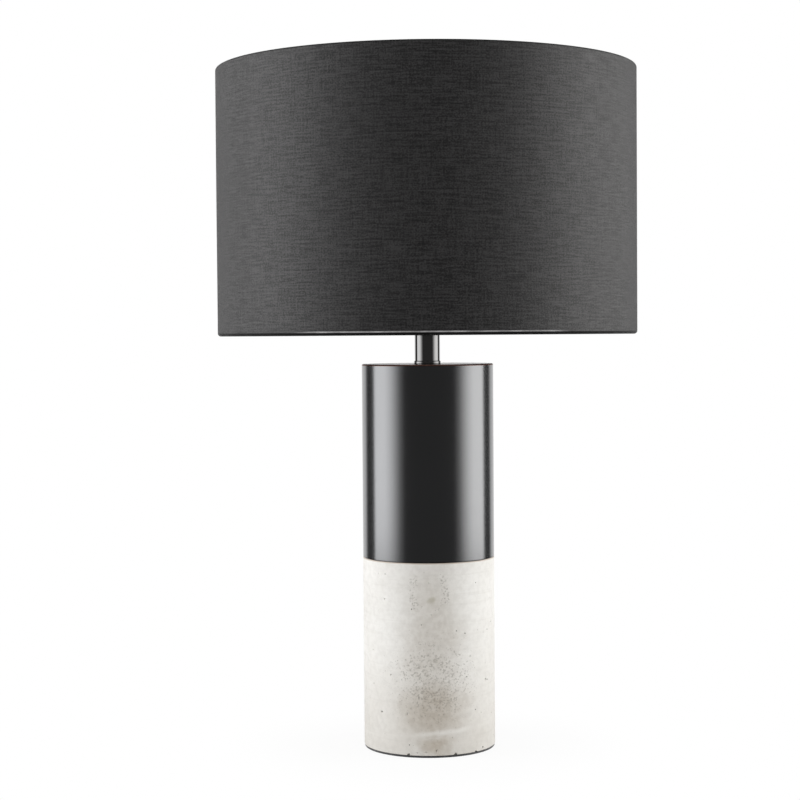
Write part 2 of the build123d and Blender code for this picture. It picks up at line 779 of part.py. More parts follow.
arm_angles = [spider_first_arm + 360 / spider_arms * number for number in range(spider_arms)]
arm_z = hub_z + ring_wire / 2
with BuildPart() as spider:
    for angle in arm_angles:
        arm_plane = Plane.XZ.rotated((0, 0, angle))
        with BuildLine(arm_plane) as arm:
            FilletPolyline(
                (ring_radius, top_ring_z),
                (ring_radius - spider_rim_run, top_ring_z),
                (ring_radius - spider_rim_run - spider_slope_run, arm_z),
                (stud_shoulder / 2 + slip_gap + ring_wire, arm_z),
                radius=spider_bend,
            )
        with BuildSketch(Plane(arm.line @ 0, z_dir=arm.line % 0)):
            Circle(ring_wire / 2)
        sweep()
    add(top_ring.part, mode=Mode.SUBTRACT)
    with BuildSketch(Plane.XY.offset(hub_z)):
        Circle(spider_hub / 2)
    extrude(amount=ring_wire, mode=Mode.SUBTRACT)
    with BuildSketch(Plane.XY.offset(hub_z)):
        Circle(spider_hub / 2)
        Circle(stud_shoulder / 2 + slip_gap, mode=Mode.SUBTRACT)
    extrude(amount=spider_hub_thickness)

with BuildPart() as shade_liner:
    with BuildSketch(Plane.XY.offset(shade_z + fabric_thickness)):
        Circle(fabric_inner)
        Circle(shade_liner_inner, mode=Mode.SUBTRACT)
    extrude(amount=shade_height - 2 * fabric_thickness)

with BuildPart() as shade_fabric:
    with BuildSketch(Plane.XZ):
        with BuildLine():
            Polyline(
                (shade_diameter / 2, shade_z),
                (shade_diameter / 2, shade_top),
                (hem_inner, shade_top),
                (hem_inner, shade_top - hem_height),
                (hem_outer, shade_top - hem_height),
                (hem_outer, shade_top - fabric_thickness),
                (fabric_inner, shade_top - fabric_thickness),
                (fabric_inner, shade_z + fabric_thickness),
                (hem_outer, shade_z + fabric_thickness),
                (hem_outer, shade_z + hem_height),
                (hem_inner, shade_z + hem_height),
                (hem_inner, shade_z),
                close=True,
            )
        make_face()
    revolve(axis=Axis.Z)
    for angle in arm_angles:
        with BuildSketch(Plane.YZ.rotated((0, 0, angle))):
            with Locations((0, top_ring_z + ring_wire / 2)):
                Rectangle(
                    ring_wire + 2 * hem_notch_gap,
                    hem_height,
                    align=(Align.CENTER, Align.MAX),
                )
        extrude(amount=hem_outer + wire_gap, mode=Mode.SUBTRACT)

# ================================================================ labels and files
nodes = {
    "foot_pad": foot_pad,
    "concrete_base": concrete_base,
    "cord_bushing": cord_bushing,
    "bottom_washer": bottom_washer,
    "lock_washer": lock_washer,
    "bottom_nut": bottom_nut,
    "threaded_pipe": threaded_pipe,
    "centring_plate": centring_plate,
    "metal_sleeve": metal_sleeve,
    "neck_collar": neck_collar,
    "neck_tube": neck_tube,
    "neck_cap": neck_cap,
    "harp_saddle": harp_saddle,
    "socket_cap": socket_cap,
    "socket_set_screw": socket_set_screw,
    "socket_shell": socket_shell,
    "socket_liner": socket_liner,
    "socket_block": socket_block,
    "terminal_screws": terminal_screws,
    "centre_contact": centre_contact,
    "screw_shell": screw_shell,
    "switch_shaft": switch_shaft,
    "switch_knob": switch_knob,
    "bulb_glass": bulb_glass,
    "bulb_screw_base": bulb_screw_base,
    "bulb_insulator": bulb_insulator,
    "bulb_contact": bulb_contact,
    "bulb_stem": bulb_stem,
    "bulb_filament": bulb_filament,
    "harp_wire_left": harp_wire_left,
    "harp_wire_right": harp_wire_right,
    "ferrule_left": ferrule_left,
    "ferrule_right": ferrule_right,
    "harp_bridge": harp_bridge,
    "swivel_stud": swivel_stud,
    "finial_washer": finial_washer,
    "finial": finial,
    "spider": spider,
    "top_ring": top_ring,
    "bottom_ring": bottom_ring,
    "shade_liner": shade_liner,
    "shade_fabric": shade_fabric,
}
os.makedirs("parts", exist_ok=True)
for label, piece in nodes.items():
    piece.part.label = label
    export_step(piece.part, f"parts/{label}.step")
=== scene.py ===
import random
from math import atan2, copysign, cos, hypot, pi, radians, sin, sqrt, tan

import bmesh
import bpy
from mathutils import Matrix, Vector


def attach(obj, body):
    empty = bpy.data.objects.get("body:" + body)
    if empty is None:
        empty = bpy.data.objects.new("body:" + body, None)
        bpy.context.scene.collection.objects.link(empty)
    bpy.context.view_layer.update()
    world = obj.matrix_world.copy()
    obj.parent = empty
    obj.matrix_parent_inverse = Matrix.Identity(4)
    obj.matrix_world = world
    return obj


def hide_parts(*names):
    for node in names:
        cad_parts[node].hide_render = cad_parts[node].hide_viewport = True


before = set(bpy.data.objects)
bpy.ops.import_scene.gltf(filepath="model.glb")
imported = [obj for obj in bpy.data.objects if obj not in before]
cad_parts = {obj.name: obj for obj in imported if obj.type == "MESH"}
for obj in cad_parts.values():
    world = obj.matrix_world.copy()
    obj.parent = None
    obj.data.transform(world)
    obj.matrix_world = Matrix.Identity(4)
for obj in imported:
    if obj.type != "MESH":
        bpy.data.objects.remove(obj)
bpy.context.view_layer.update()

MM = 0.001
FULL_TURN = 2 * pi
SHARP = radians(32)

# -------- sizes, in millimetres
BASE_RADIUS = 60
PAD_RADIUS = 59.5
PAD_TOP = 2
CONCRETE_TOP = 174
RECESS_RADIUS = 38
RECESS_TOP = 24
PIPE_HOLE = 5.15
CORD_HEIGHT = 14
CORD_CHANNEL = 5.9
SPOT_FACE = 8.5
SPOT_FACE_SEAT = 57.4
SLEEVE_TOP = 350
SLEEVE_WALL = 1.2
COLLAR_RADIUS = 12.25
NECK_RADIUS = 11.5
NECK_BORE = 10
NECK_BOTTOM = 352.5
NECK_TOP = 395.5
SADDLE = 397.5
SADDLE_THICKNESS = 1.6
CUP_SEAT = 408.1
CUP_RADIUS = 18.4
SHELL_RADIUS = 17.4
SHELL_TOP = 457.1
SHAFT = 424.1
SHAFT_RADIUS = 1.5
KNOB_RADIUS = 6.5
BLOCK_TOP = 432.1
THREAD_PITCH = 3.6
BULB_BASE = 437.8
BULB_BASE_TOP = 458.5
BULB_BELLY = 513.1
BULB_RADIUS = 30
LEG = 36
LOOP = 58
LOOP_TOP = 582.4
FERRULE_BOTTOM = 408
FERRULE_TOP = 422
FERRULE_RADIUS = 4.3
STUD_SEAT = 588
HUB = 588.2
FINIAL_WASHER = 590
FINIAL = 591.2
FINIAL_FOOT = 6.5
FINIAL_BALL = 8
SHADE_BOTTOM = 376
SHADE_TOP = 616
SHADE_RADIUS = 190.5
CLOTH = 0.8
LINER_INNER = 188.9
HEM_RADIUS = 184.8
HEM_HEIGHT = 12
RING_RADIUS = 187.05
RING_WIRE = 1.8
TOP_RING = 613.35
BOTTOM_RING = 378.65
SPIDER_ARMS = 3
BACK = radians(90)
FOLD = 2.4
# the cloth's lap, measured along the cloth from the middle of the back
LAP_START = -9
LAP_END = 6
LAP_EDGE = 0.4
LAP_HEIGHT = 0.42
SWAY = 0.035

# -------- stage: light levels, degrees, metres
WORLD_FRONT = 0.078
WORLD_ABOVE = 0.3
WORLD_AMBIENT = 0.565
SOFTBOX_RADIANCE = 2.5
SOFTBOX_DISTANCE = 1
SOFTBOX_HEIGHT = 1.7
SOFTBOX_BOTTOM = 0.038
# bearings from the front where each strip starts and ends, and its share of the light
SOFTBOX_STRIPS = (
    (45, 52, 0.1), (52, 58, 0.28), (58, 64, 0.5), (64, 70, 0.7), (70, 77, 0.86), (77, 92, 1), (92, 107, 1)
)
LEFT_COLOUR = (0.995, 0.996, 1)
RIGHT_COLOUR = (1, 0.995, 0.984)
CAMERA_FOCAL = 1903
CAMERA_FRAME = 800
CAMERA_SENSOR = 36
CAMERA_X = -0.0253
CAMERA_DISTANCE = 1.74
CAMERA_HEIGHT = 0.377
CAMERA_PITCH = 1.98
CAMERA_ROLL = -0.4

# ======== node trees
SOCKET_KINDS = dict.fromkeys(("Place", "Cloth", "Patch Centre"), "Vector")
SOCKET_KINDS |= dict.fromkeys(("Colour", "Dark", "Light"), "Color")
SOCKET_KINDS |= dict.fromkeys(("Steps", "Count", "Seed"), "Int")
SOCKET_KINDS |= {"Shape": "Geometry", "Finish": "Material"}


def feed(socket, value):
    """Joins a Value to a node's input, or sets the input to a constant."""
    if isinstance(value, Value):
        value.tree.links.new(value.socket, socket)
    else:
        socket.default_value = (*value, 1) if socket.type == "RGBA" else value


def fill(sockets, owner=None, **values):
    """Feeds inputs by name, with underscores for spaces, and returns the tree or finish that owns them."""
    for key, value in values.items():
        feed(sockets[key.replace("_", " ")], value)
    return owner


def set_up(thing, **settings):
    """Gives a node, modifier, light or camera these settings."""
    for key, value in settings.items():
        setattr(thing, key, value)
    return thing


def place(tree, kind, inputs=None, **settings):
    """A new node of this kind, with its settings and inputs."""
    node = set_up(tree.nodes.new(kind), **settings)
    for key, value in (inputs or {}).items():
        feed(node.inputs[key], value)
    return node


def made(tree, kind, inputs=None, out=0, **settings):
    """What one output of a new node gives."""
    return Value(place(tree, kind, inputs, **settings).outputs[out])


def outlets(node):
    """What each output of a node gives, by name."""
    return {socket.name: Value(socket) for socket in node.outputs}


def maths(operation, *terms):
    """The result of one sum over values and numbers."""
    tree = next(term.tree for term in terms if isinstance(term, Value))
    return made(tree, "ShaderNodeMath", dict(enumerate(terms)), operation=operation)


def sum_of(operation, swapped=False):
    """A method for one sum, so that values can be written in formulas."""
    if swapped:
        return lambda value, other: maths(operation, other, value)
    return lambda value, *others: maths(operation, value, *others)


class Value:
    """What a socket gives: a number, a colour or a place, and what can be worked out from it."""

    def __init__(self, socket):
        self.socket = socket
        self.tree = socket.id_data

    __add__ = sum_of("ADD")
    __sub__ = sum_of("SUBTRACT")
    __rsub__ = sum_of("SUBTRACT", swapped=True)
    __mul__ = sum_of("MULTIPLY")
    __truediv__ = sum_of("DIVIDE")
    __rtruediv__ = sum_of("DIVIDE", swapped=True)
    __abs__ = sum_of("ABSOLUTE")
    # scaled(factor, more) is this number times a factor with more added; most(other) is the larger of two
    scaled = sum_of("MULTIPLY_ADD")
    most = sum_of("MAXIMUM")

    def clamped(self):
        """This sum, held between 0 and 1."""
        self.socket.node.use_clamp = True
        return self

    def ramp(self, low, high, out_low=0, out_high=1):
        """This number between low and high, spread over out_low to out_high and held there."""
        inputs = {0: self, 1: low, 2: high, 3: out_low, 4: out_high}
        return made(self.tree, "ShaderNodeMapRange", inputs, interpolation_type="SMOOTHSTEP")

    def mixed(self, first, second):
        """Two numbers mixed by this factor."""
        return made(self.tree, "ShaderNodeMix", {0: self, 2: first, 3: second})

    def tint(self, first, second):
        """Two colours mixed by this factor."""
        return made(self.tree, "ShaderNodeMix", {0: self, 6: first, 7: second}, 2, data_type="RGBA")

    def grain(self, scale, detail=2, roughness=0.5, out=0):
        """Noise at this place."""
        inputs = {"Vector": self, "Scale": scale, "Detail": detail, "Roughness": roughness}
        return made(self.tree, "ShaderNodeTexNoise", inputs, out)

    def stretched(self, scale, shift=(0, 0, 0)):
        """This place stretched and moved, for a pattern that runs one way."""
        return made(self.tree, "ShaderNodeMapping", {"Vector": self, "Location": shift, "Scale": scale})

    def vector(self, operation, *others, out=0):
        """One sum over this place and others."""
        places = dict(enumerate((self, *others)))
        return made(self.tree, "ShaderNodeVectorMath", places, out, operation=operation)

    def length(self):
        """How far this place is from the origin."""
        return self.vector("LENGTH", out="Value")

    def part(self, axis):
        """One coordinate of this place."""
        return made(self.tree, "ShaderNodeSeparateXYZ", {0: self}, axis)

    def relief(self, depth, strength):
        """A normal with bumps of this height and of this depth in metres."""
        inputs = {"Height": self, "Distance": depth, "Strength": strength}
        return made(self.tree, "ShaderNodeBump", inputs)

    def blotch(self, centre, reach):
        """A mask that is 1 at a centre and fades to 0 over a reach in each direction."""
        shift = [-part / size for part, size in zip(centre, reach)]
        return self.stretched([1 / size for size in reach], shift).length().ramp(0.15, 1, 1, 0)


def group(name, inputs, outputs, kind="ShaderNodeTree"):
    """An empty node group: its tree, the values given to it and the sockets for its results."""
    tree = bpy.data.node_groups.new(name, kind)
    for way, labels in (("INPUT", inputs), ("OUTPUT", outputs)):
        for label in labels:
            socket_type = "NodeSocket" + SOCKET_KINDS.get(label, "Float")
            tree.interface.new_socket(label, in_out=way, socket_type=socket_type)
    given = outlets(tree.nodes.new("NodeGroupInput"))
    return tree, given, tree.nodes.new("NodeGroupOutput").inputs


# ======== shader groups
def handling_marks():
    """Fine rubbed lines and faint smudges on a smooth finish."""
    inputs = ("Place", "Roughness", "Smudge", "Rub")
    tree, given, result = group("handling_marks", inputs, ("Roughness", "Height"))
    lines = given["Place"].stretched((900, 900, 60)).grain(1)
    smudged = (given["Place"].grain(38, 4, 0.6) - 0.5) * given["Smudge"]
    rubbed = (lines - 0.5) * given["Rub"]
    total = given["Roughness"] + smudged + rubbed
    return fill(result, tree, Roughness=total.clamped(), Height=lines)


def height_band():
    """A mask over a band of heights, with soft edges that a little noise breaks up."""
    inputs = ("Place", "Middle", "Half Width", "Softness", "Tilt", "Raggedness")
    tree, given, result = group("height_band", inputs, ("Mask",))
    spot = given["Place"]
    level = (spot.grain(70, 3) - 0.5).scaled(given["Raggedness"], spot.part(2))
    level = spot.part(0).scaled(given["Tilt"], level)
    outside = (abs(level - given["Middle"]) - given["Half Width"]) / given["Softness"]
    return fill(result, tree, Mask=(1 - outside).clamped())


def dust_film():
    """Faint pale dust that settles on faces that look up."""
    tree, given, result = group("dust_film", ("Place", "Colour", "Amount"), ("Colour", "Mask"))
    up = made(tree, "ShaderNodeNewGeometry", out="Normal").part(2)
    specks = given["Place"].grain(420, 3, 0.7).ramp(0.45, 0.75)
    mask = (up.ramp(0.3, 1) * (specks + 0.25) * given["Amount"]).clamped()
    return fill(result, tree, Colour=mask.tint(given["Colour"], (0.45, 0.44, 0.42)), Mask=mask)


def woven_threads():
    """A plain weave in a cloth's own lengths: threads over and under each other, in thick and thin runs."""
    inputs = ("Cloth", "Thread Pitch", "Slub", "Dark", "Light")
    tree, given, result = group("woven_threads", inputs, ("Colour", "Height", "Slubs"))
    cloth = given["Cloth"]
    waver = (cloth.grain(300) - 0.5) * 1.6
    across = cloth.part(0) / given["Thread Pitch"] * pi + waver
    along = cloth.part(1) / given["Thread Pitch"] * pi + waver
    over = (maths("COSINE", across) * maths("COSINE", along)).ramp(-0.2, 0.2)
    weave = over.mixed(abs(maths("SINE", across)), abs(maths("SINE", along)))
    wefts = cloth.stretched((50, 640, 1)).grain(1, 3, 0.6)
    warps = cloth.stretched((560, 52, 1), (3, 7, 0)).grain(1, 3, 0.6)
    nubs = cloth.grain(700, 2, 0.6)
    lengths = cloth.stretched((5, 430, 1), (1, 5, 0)).grain(1)
    slubs = lengths.scaled(0.16, nubs.scaled(1.15, warps.scaled(0.52, wefts))).ramp(1.14, 1.69)
    shade = (weave.scaled(0.45, (slubs - 0.5) * given["Slub"]) + 0.2).clamped()
    colour = shade.tint(given["Dark"], given["Light"])
    return fill(result, tree, Colour=colour, Height=slubs.scaled(1.6, weave), Slubs=slubs)


def pore_specks():
    """Round dark specks of mixed sizes, gathered in patches."""
    tree, given, result = group("pore_specks", ("Place", "Spacing", "Size", "Share"), ("Mask",))
    inputs = {"Vector": given["Place"], "Scale": 1 / given["Spacing"], "Randomness": 1}
    cells = outlets(place(tree, "ShaderNodeTexVoronoi", inputs))
    chance = outlets(place(tree, "ShaderNodeSeparateColor", {0: cells["Color"]}))
    size = chance["Green"].scaled(0.8, 0.2) * given["Size"]
    inside = ((size - cells["Distance"]) / size).ramp(0, 0.45)
    return fill(result, tree, Mask=inside * maths("LESS_THAN", chance["Red"], given["Share"]))


HANDLING = handling_marks()
BAND = height_band()
DUST = dust_film()
WEAVE = woven_threads()
SPECKS = pore_specks()


def use(effect, spot, **inputs):
    """What a shader group gives at this place in a material."""
    node = place(spot.tree, "ShaderNodeGroup", node_tree=effect)
    feed(node.inputs[0], spot)
    fill(node.inputs, **inputs)
    return outlets(node)


def band(spot, middle, half_width, softness, raggedness, tilt=0):
    """The mask of a band round the lamp. Lengths are in metres."""
    sizes = {"Middle": middle, "Half_Width": half_width, "Softness": softness}
    return use(BAND, spot, **sizes, Raggedness=raggedness, Tilt=tilt)["Mask"]


# ======== materials
def surface(name, **constants):
    """A new material: the inputs of its Principled shader, and the piece's own coordinates."""
    finish = bpy.data.materials.new(name)
    finish.use_nodes = True
    shader = finish.node_tree.nodes["Principled BSDF"].inputs
    fill(shader, **constants)
    return finish, shader, made(finish.node_tree, "ShaderNodeTexCoord", out="Object")


def dusted(spot, colour, amount):
    """The colour under a film of dust."""
    return use(DUST, spot, Colour=colour, Amount=amount)["Colour"]


def patchy(spot, scale, colour, depth):
    """A colour that is a little deeper in patches."""
    return spot.grain(scale, 3).tint([part * depth for part in colour], colour)


def metal(name, colour, roughness, smudge, rub, dust, metallic=1):
    """A smooth metal or lacquered finish with handling marks and a little dust."""
    finish, shader, spot = surface(name, Metallic=metallic)
    marks = use(HANDLING, spot, Roughness=roughness, Smudge=smudge, Rub=rub)
    base = dusted(spot, patchy(spot, 24, colour, 0.86), dust)
    bumps = marks["Height"].relief(0.000004, 0.3)
    return fill(shader, finish, Base_Color=base, Roughness=marks["Roughness"], Normal=bumps)


def moulded(name, colour, roughness, bump, scale):
    """A moulded or pressed material with a fine even texture."""
    finish, shader, spot = surface(name)
    texture = spot.grain(scale, 3, 0.6)
    base = patchy(spot, 60, colour, 0.8)
    rough = texture.scaled(0.12, roughness - 0.06).clamped()
    return fill(shader, finish, Base_Color=base, Roughness=rough, Normal=texture.relief(bump, 0.5))


def lacquered_sleeve():
    """Gloss black over metal, rubbed through to a coppery tone along the rim."""
    finish, shader, spot = surface("black_lacquer", Metallic=1)
    marks = use(HANDLING, spot, Roughness=0.2, Smudge=0.05, Rub=0.02)
    rim = band(spot, (SLEEVE_TOP - 0.75) * MM, 0.0004, 0.0005, 0.0003)
    rim = rim * spot.stretched((1, 1, 0)).length().ramp(0.0583, 0.0592)
    foot = band(spot, CONCRETE_TOP * MM, 0.0003, 0.0006, 0.0006)
    black = spot.grain(9, 3).tint((0.192, 0.194, 0.199), (0.217, 0.219, 0.223))
    copper = (rim * 0.75).tint(black, (0.3, 0.115, 0.07))
    base = (foot * 0.8).tint(copper, (0.02, 0.02, 0.022))
    rough = rim.scaled(0.2, marks["Roughness"])
    bumps = marks["Height"].relief(0.000003, 0.2)
    return fill(shader, finish, Base_Color=dusted(spot, base, 0.1), Roughness=rough, Normal=bumps)


def cast_concrete():
    """Pale cast concrete with an old taupe stain in front, gathered flecks, level lines, and pores and a
    recess darkened with painted shade.
    """
    finish, shader, spot = surface("cast_concrete", Specular_IOR_Level=0.3)
    cloud = spot.grain(17, 5, 0.62)
    broad = spot.stretched((1, 1, 1), (4, 2, 9)).grain(9, 3, 0.5)
    mottle = spot.grain(205, 3, 0.6)
    fine = spot.grain(530, 3, 0.62)
    lines = spot.stretched((13, 13, 330)).grain(1, 3, 0.6)
    wander = spot.grain(45, 3, out="Color").vector("MULTIPLY_ADD", (0.022, 0.022, 0.022), spot)
    wander = wander.stretched((1, 1, 1), (-0.011, -0.011, -0.011))
    # the stain: a faint column, a strong low patch with a branch, a patch at the foot and two behind
    stain = wander.blotch((0.001, -0.07, 0.11), (0.042, 0.06, 0.11)) * 0.48
    for centre, reach, depth in (
        ((0.002, -0.06, 0.042), (0.046, 0.04, 0.043), 0.86),
        ((0.026, -0.06, 0.046), (0.022, 0.04, 0.016), 0.42),
        ((-0.006, -0.06, 0.08), (0.03, 0.04, 0.04), 0.34),
        ((0.006, -0.06, 0.011), (0.026, 0.03, 0.012), 1),
        ((0.046, 0.04, 0.06), (0.045, 0.04, 0.06), 0.45),
        ((-0.05, 0.03, 0.12), (0.035, 0.05, 0.045), 0.4),
    ):
        stain = stain.most(wander.blotch(centre, reach) * depth)
    stain = stain * mottle.ramp(0.25, 0.68, 0.72, 1)
    stain = stain.most(broad.ramp(0.56, 0.76) * 0.16)
    base = cloud.ramp(0.35, 0.68).tint((0.814, 0.798, 0.762), (0.854, 0.841, 0.81))
    base = wander.part(2).ramp(0.02, 0.1, 0.38, 0).tint(base, (0.6, 0.565, 0.51))
    base = stain.tint(base, (0.49, 0.435, 0.365))
    olive = wander.blotch((0, -0.06, 0.1405), (0.0062, 0.02, 0.0062)) * 0.55
    base = olive.tint(base, (0.4, 0.37, 0.27))
    base = (lines.ramp(0.5, 0.76) * 0.13).tint(base, (0.52, 0.49, 0.44))
    base = mottle.ramp(0.36, 0.7, 0, 0.1).tint(base, (0.3, 0.275, 0.235))
    streak = band(spot, 0.0215, 0.0006, 0.0026, 0.003, tilt=-0.09)
    streak = streak * wander.blotch((0.01, -0.06, 0.024), (0.046, 0.05, 0.024)).most(0.22) * 0.55
    base = streak.tint(base, (0.87, 0.855, 0.82))
    # flecks: crowded in the low patch, on a ring mark higher up and here and there at the back
    mark = spot.stretched((1, 0, 1), (0.001, 0, -0.148))
    ring = abs(mark.length() - 0.0155).ramp(0.0015, 0.007, 1.02, 0)
    ring = ring * abs(mark.part(0)).ramp(0.005, 0.013, 0.3, 1)
    ring = ring * spot.part(1).ramp(-0.05, -0.03, 1, 0)
    crowd = wander.blotch((0.004, -0.06, 0.068), (0.07, 0.06, 0.066)).most(ring)
    crowd = crowd.most(wander.blotch((-0.02, 0.06, 0.1), (0.05, 0.05, 0.06)) * 0.7)
    crowd = crowd * spot.grain(62, 3, 0.6).ramp(0.3, 0.6, 0.74, 1)
    fleck = ((fine - crowd.scaled(-0.215, 0.7)) * 9).clamped()
    base = (fleck * 0.43).tint(base, (0.19, 0.165, 0.13))
    small = use(SPECKS, spot, Spacing=0.006, Size=0.11, Share=0.35)["Mask"]
    base = (small * 0.55).tint(base, (0.2, 0.18, 0.15))
    # painted shade: pores and the recess, and anything else cut in below the skin, are made darker than the
    # skin
    inner = spot.stretched((1, 1, 0)).length().ramp(0.0594, 0.05993, 1, 0)
    base = (inner * 0.85).tint(base, (0.15, 0.14, 0.12))
    top = band(spot, (CONCRETE_TOP - 0.3) * MM, 0.0005, 0.0007, 0.0006)
    base = (top * 0.55).tint(base, (0.47, 0.36, 0.27))
    bumps = fleck.scaled(-0.35, mottle.scaled(0.8, lines)).relief(0.00012, 0.6)
    return fill(shader, finish, Base_Color=base, Roughness=cloud.scaled(0.2, 0.62), Normal=bumps)


def charcoal_linen():
    """The shade's cloth, made near black along its folds with painted shade, with a pale line above the
    lower fold that is a painted highlight in front and wear at the back.
    """
    gloss = {"Specular_IOR_Level": 0.12, "Coat_Roughness": 0.6, "Coat_IOR": 1.7}
    sheen = {"Sheen_Weight": 0.02, "Sheen_Roughness": 0.45, "Sheen_Tint": (0.85, 0.86, 0.88)}
    finish, shader, spot = surface("charcoal_linen", **gloss, **sheen)
    cloth = made(spot.tree, "ShaderNodeUVMap", uv_map="cloth")
    tones = {"Dark": (0.004, 0.0036, 0.0038), "Light": (0.0395, 0.0372, 0.0382)}
    woven = use(WEAVE, cloth, Thread_Pitch=0.00052, Slub=0.88, **tones)
    height = spot.part(2)
    # painted shade: the cloth is made near black along its top and bottom folds, standing in for the dark
    # edge and the shaded inside of the far rim seen under the front rim
    upper = height.ramp((SHADE_TOP - 1.6) * MM, (SHADE_TOP - 0.9) * MM)
    lower = height.ramp((SHADE_BOTTOM + FOLD) * MM, (SHADE_BOTTOM + FOLD + 0.4) * MM, 1, 0)
    painted_fold_shade = upper.most(lower) * 0.85
    patch = spot.grain(11, 4, 0.6).ramp(0.35, 0.7, 0, 0.22)
    base = patch.tint(woven["Colour"], (0.012, 0.0115, 0.012))
    base = painted_fold_shade.tint(base, (0.003, 0.003, 0.003))
    # a pale line painted above the lower fold: a painted highlight of the rolled edge along the front, with
    # patchy wear at the back
    front_highlight = spot.part(1).ramp(-0.168, -0.148, 1, 0)
    elsewhere = spot.grain(8).ramp(0.52, 0.6, 0, 0.7) * spot.part(1).ramp(0, 0.03)
    patches = spot.grain(55, 3).ramp(0.3, 0.7, 0.45, 1)
    highlight_and_wear = band(spot, (SHADE_BOTTOM + FOLD + 0.65) * MM, 0.0004, 0.0003, 0.0002)
    highlight_and_wear = highlight_and_wear * front_highlight.most(elsewhere) * patches * 0.95
    base = highlight_and_wear.tint(base, (0.5, 0.49, 0.495))
    rough = woven["Slubs"].scaled(0.2, 0.42)
    edge_on = made(spot.tree, "ShaderNodeLayerWeight", {"Blend": 0.5}, "Facing")
    shine = woven["Slubs"].scaled(0.44, 0.5) * (1 - painted_fold_shade) * edge_on.ramp(0.62, 0.95, 1, 0.3)
    bumps = woven["Height"].relief(0.00012, 0.8)
    return fill(shader, finish, Base_Color=base, Roughness=rough, Coat_Weight=shine, Normal=bumps)


def felt_pad():
    """Pressed felt with stray fibres."""
    sheen = {"Sheen_Weight": 0.4, "Sheen_Roughness": 0.6}
    finish, shader, spot = surface("black_felt", Roughness=0.95, Specular_IOR_Level=0.1, **sheen)
    fibres = spot.stretched((1, 2.2, 6)).grain(900, 5, 0.75)
    shade = spot.grain(80, 4).scaled(0.5, fibres * 0.6)
    colour = shade.ramp(0.3, 0.85).tint((0.012, 0.012, 0.013), (0.085, 0.085, 0.088))
    return fill(shader, finish, Base_Color=colour, Normal=fibres.relief(0.0004, 0.8))


def opal_glass():
    """White glass with a soft inner coat and the faintest cloudiness."""
    inside = {"Subsurface_Weight": 0.25, "Subsurface_Scale": 0.004, "Subsurface_Radius": (1, 1, 1)}
    finish, shader, spot = surface("opal_glass", Coat_Weight=0.6, Coat_Roughness=0.04, **inside)
    cloud = spot.grain(34, 3)
    base = cloud.tint((0.86, 0.86, 0.85), (0.9, 0.9, 0.895))
    base = spot.part(2).ramp(0.462, 0.474, 0.35, 0).tint(base, (0.62, 0.62, 0.6))
    return fill(shader, finish, Base_Color=base, Roughness=cloud.scaled(0.08, 0.22))


CONCRETE = cast_concrete()
LACQUER = lacquered_sleeve()
LINEN = charcoal_linen()
FELT = felt_pad()
OPAL = opal_glass()
# colour, roughness, smudge, rub and dust
NICKEL = metal("black_nickel", (0.238, 0.237, 0.236), 0.06, 0.04, 0.02, 0.05)
SATIN_NICKEL = metal("satin_black_nickel", (0.17, 0.17, 0.175), 0.26, 0.1, 0.08, 0.12)
ZINC = metal("zinc_steel", (0.55, 0.56, 0.57), 0.32, 0.2, 0.15, 0.1)
BRASS = metal("brass", (0.71, 0.5, 0.22), 0.25, 0.2, 0.12, 0.05)
ALUMINIUM = metal("aluminium", (0.76, 0.77, 0.78), 0.27, 0.2, 0.12, 0.03)
SOLDER = metal("solder", (0.52, 0.53, 0.55), 0.38, 0.25, 0.1, 0)
WHITE_WIRE = metal("white_wire", (0.62, 0.62, 0.61), 0.35, 0.1, 0.05, 0.15, metallic=0)
TUNGSTEN = metal("tungsten", (0.22, 0.21, 0.2), 0.45, 0.1, 0.1, 0)
# colour, roughness, depth of the texture in metres and its scale
CARD = moulded("insulating_card", (0.2, 0.13, 0.07), 0.8, 0.00004, 700)
PORCELAIN = moulded("porcelain", (0.8, 0.79, 0.75), 0.22, 0.000008, 500)
KNOB_PLASTIC = moulded("knob_plastic", (0.013, 0.013, 0.014), 0.38, 0.000012, 1500)
BUSHING_PLASTIC = moulded("black_plastic", (0.016, 0.016, 0.017), 0.45, 0.000015, 1300)
BLACK_GLASS = moulded("black_glass", (0.012, 0.012, 0.016), 0.12, 0.000004, 500)
STEM_GLASS = moulded("clear_glass", (0.7, 0.74, 0.74), 0.1, 0.000004, 300)
LINER = moulded("shade_liner", (0.021, 0.021, 0.022), 0.42, 0.00003, 1100)


# ======== making pieces
def rounded(corners, closed=True, step=radians(18)):
    """The line through corners (x, y) or (x, y, radius), each turn rounded to its radius."""
    line = []
    for number, corner in enumerate(corners):
        here = Vector(corner[:2])
        at_end = not closed and number in (0, len(corners) - 1)
        if len(corner) == 2 or at_end:
            line.append(here)
            continue
        to_last = (Vector(corners[number - 1][:2]) - here).normalized()
        to_next = (Vector(corners[(number + 1) % len(corners)][:2]) - here).normalized()
        half = to_last.angle(to_next) / 2
        centre = here + (to_last + to_next).normalized() * corner[2] / sin(half)
        first = here + to_last * corner[2] / tan(half) - centre
        last = here + to_next * corner[2] / tan(half) - centre
        turn = atan2(first.x * last.y - first.y * last.x, first.dot(last))
        start = atan2(first.y, first.x)
        parts = max(2, round(abs(turn) / step))
        for part in range(parts + 1):
            angle = start + turn * part / parts
            line.append(centre + corner[2] * Vector((cos(angle), sin(angle))))
    return line


def added(name, data):
    """A new object of the scene with this mesh, light or camera."""
    thing = bpy.data.objects.new(name, data)
    bpy.context.scene.collection.objects.link(thing)
    return thing


def smooth(mesh, sharp):
    mesh.shade_smooth()
    mesh.set_sharp_from_angle(angle=sharp)


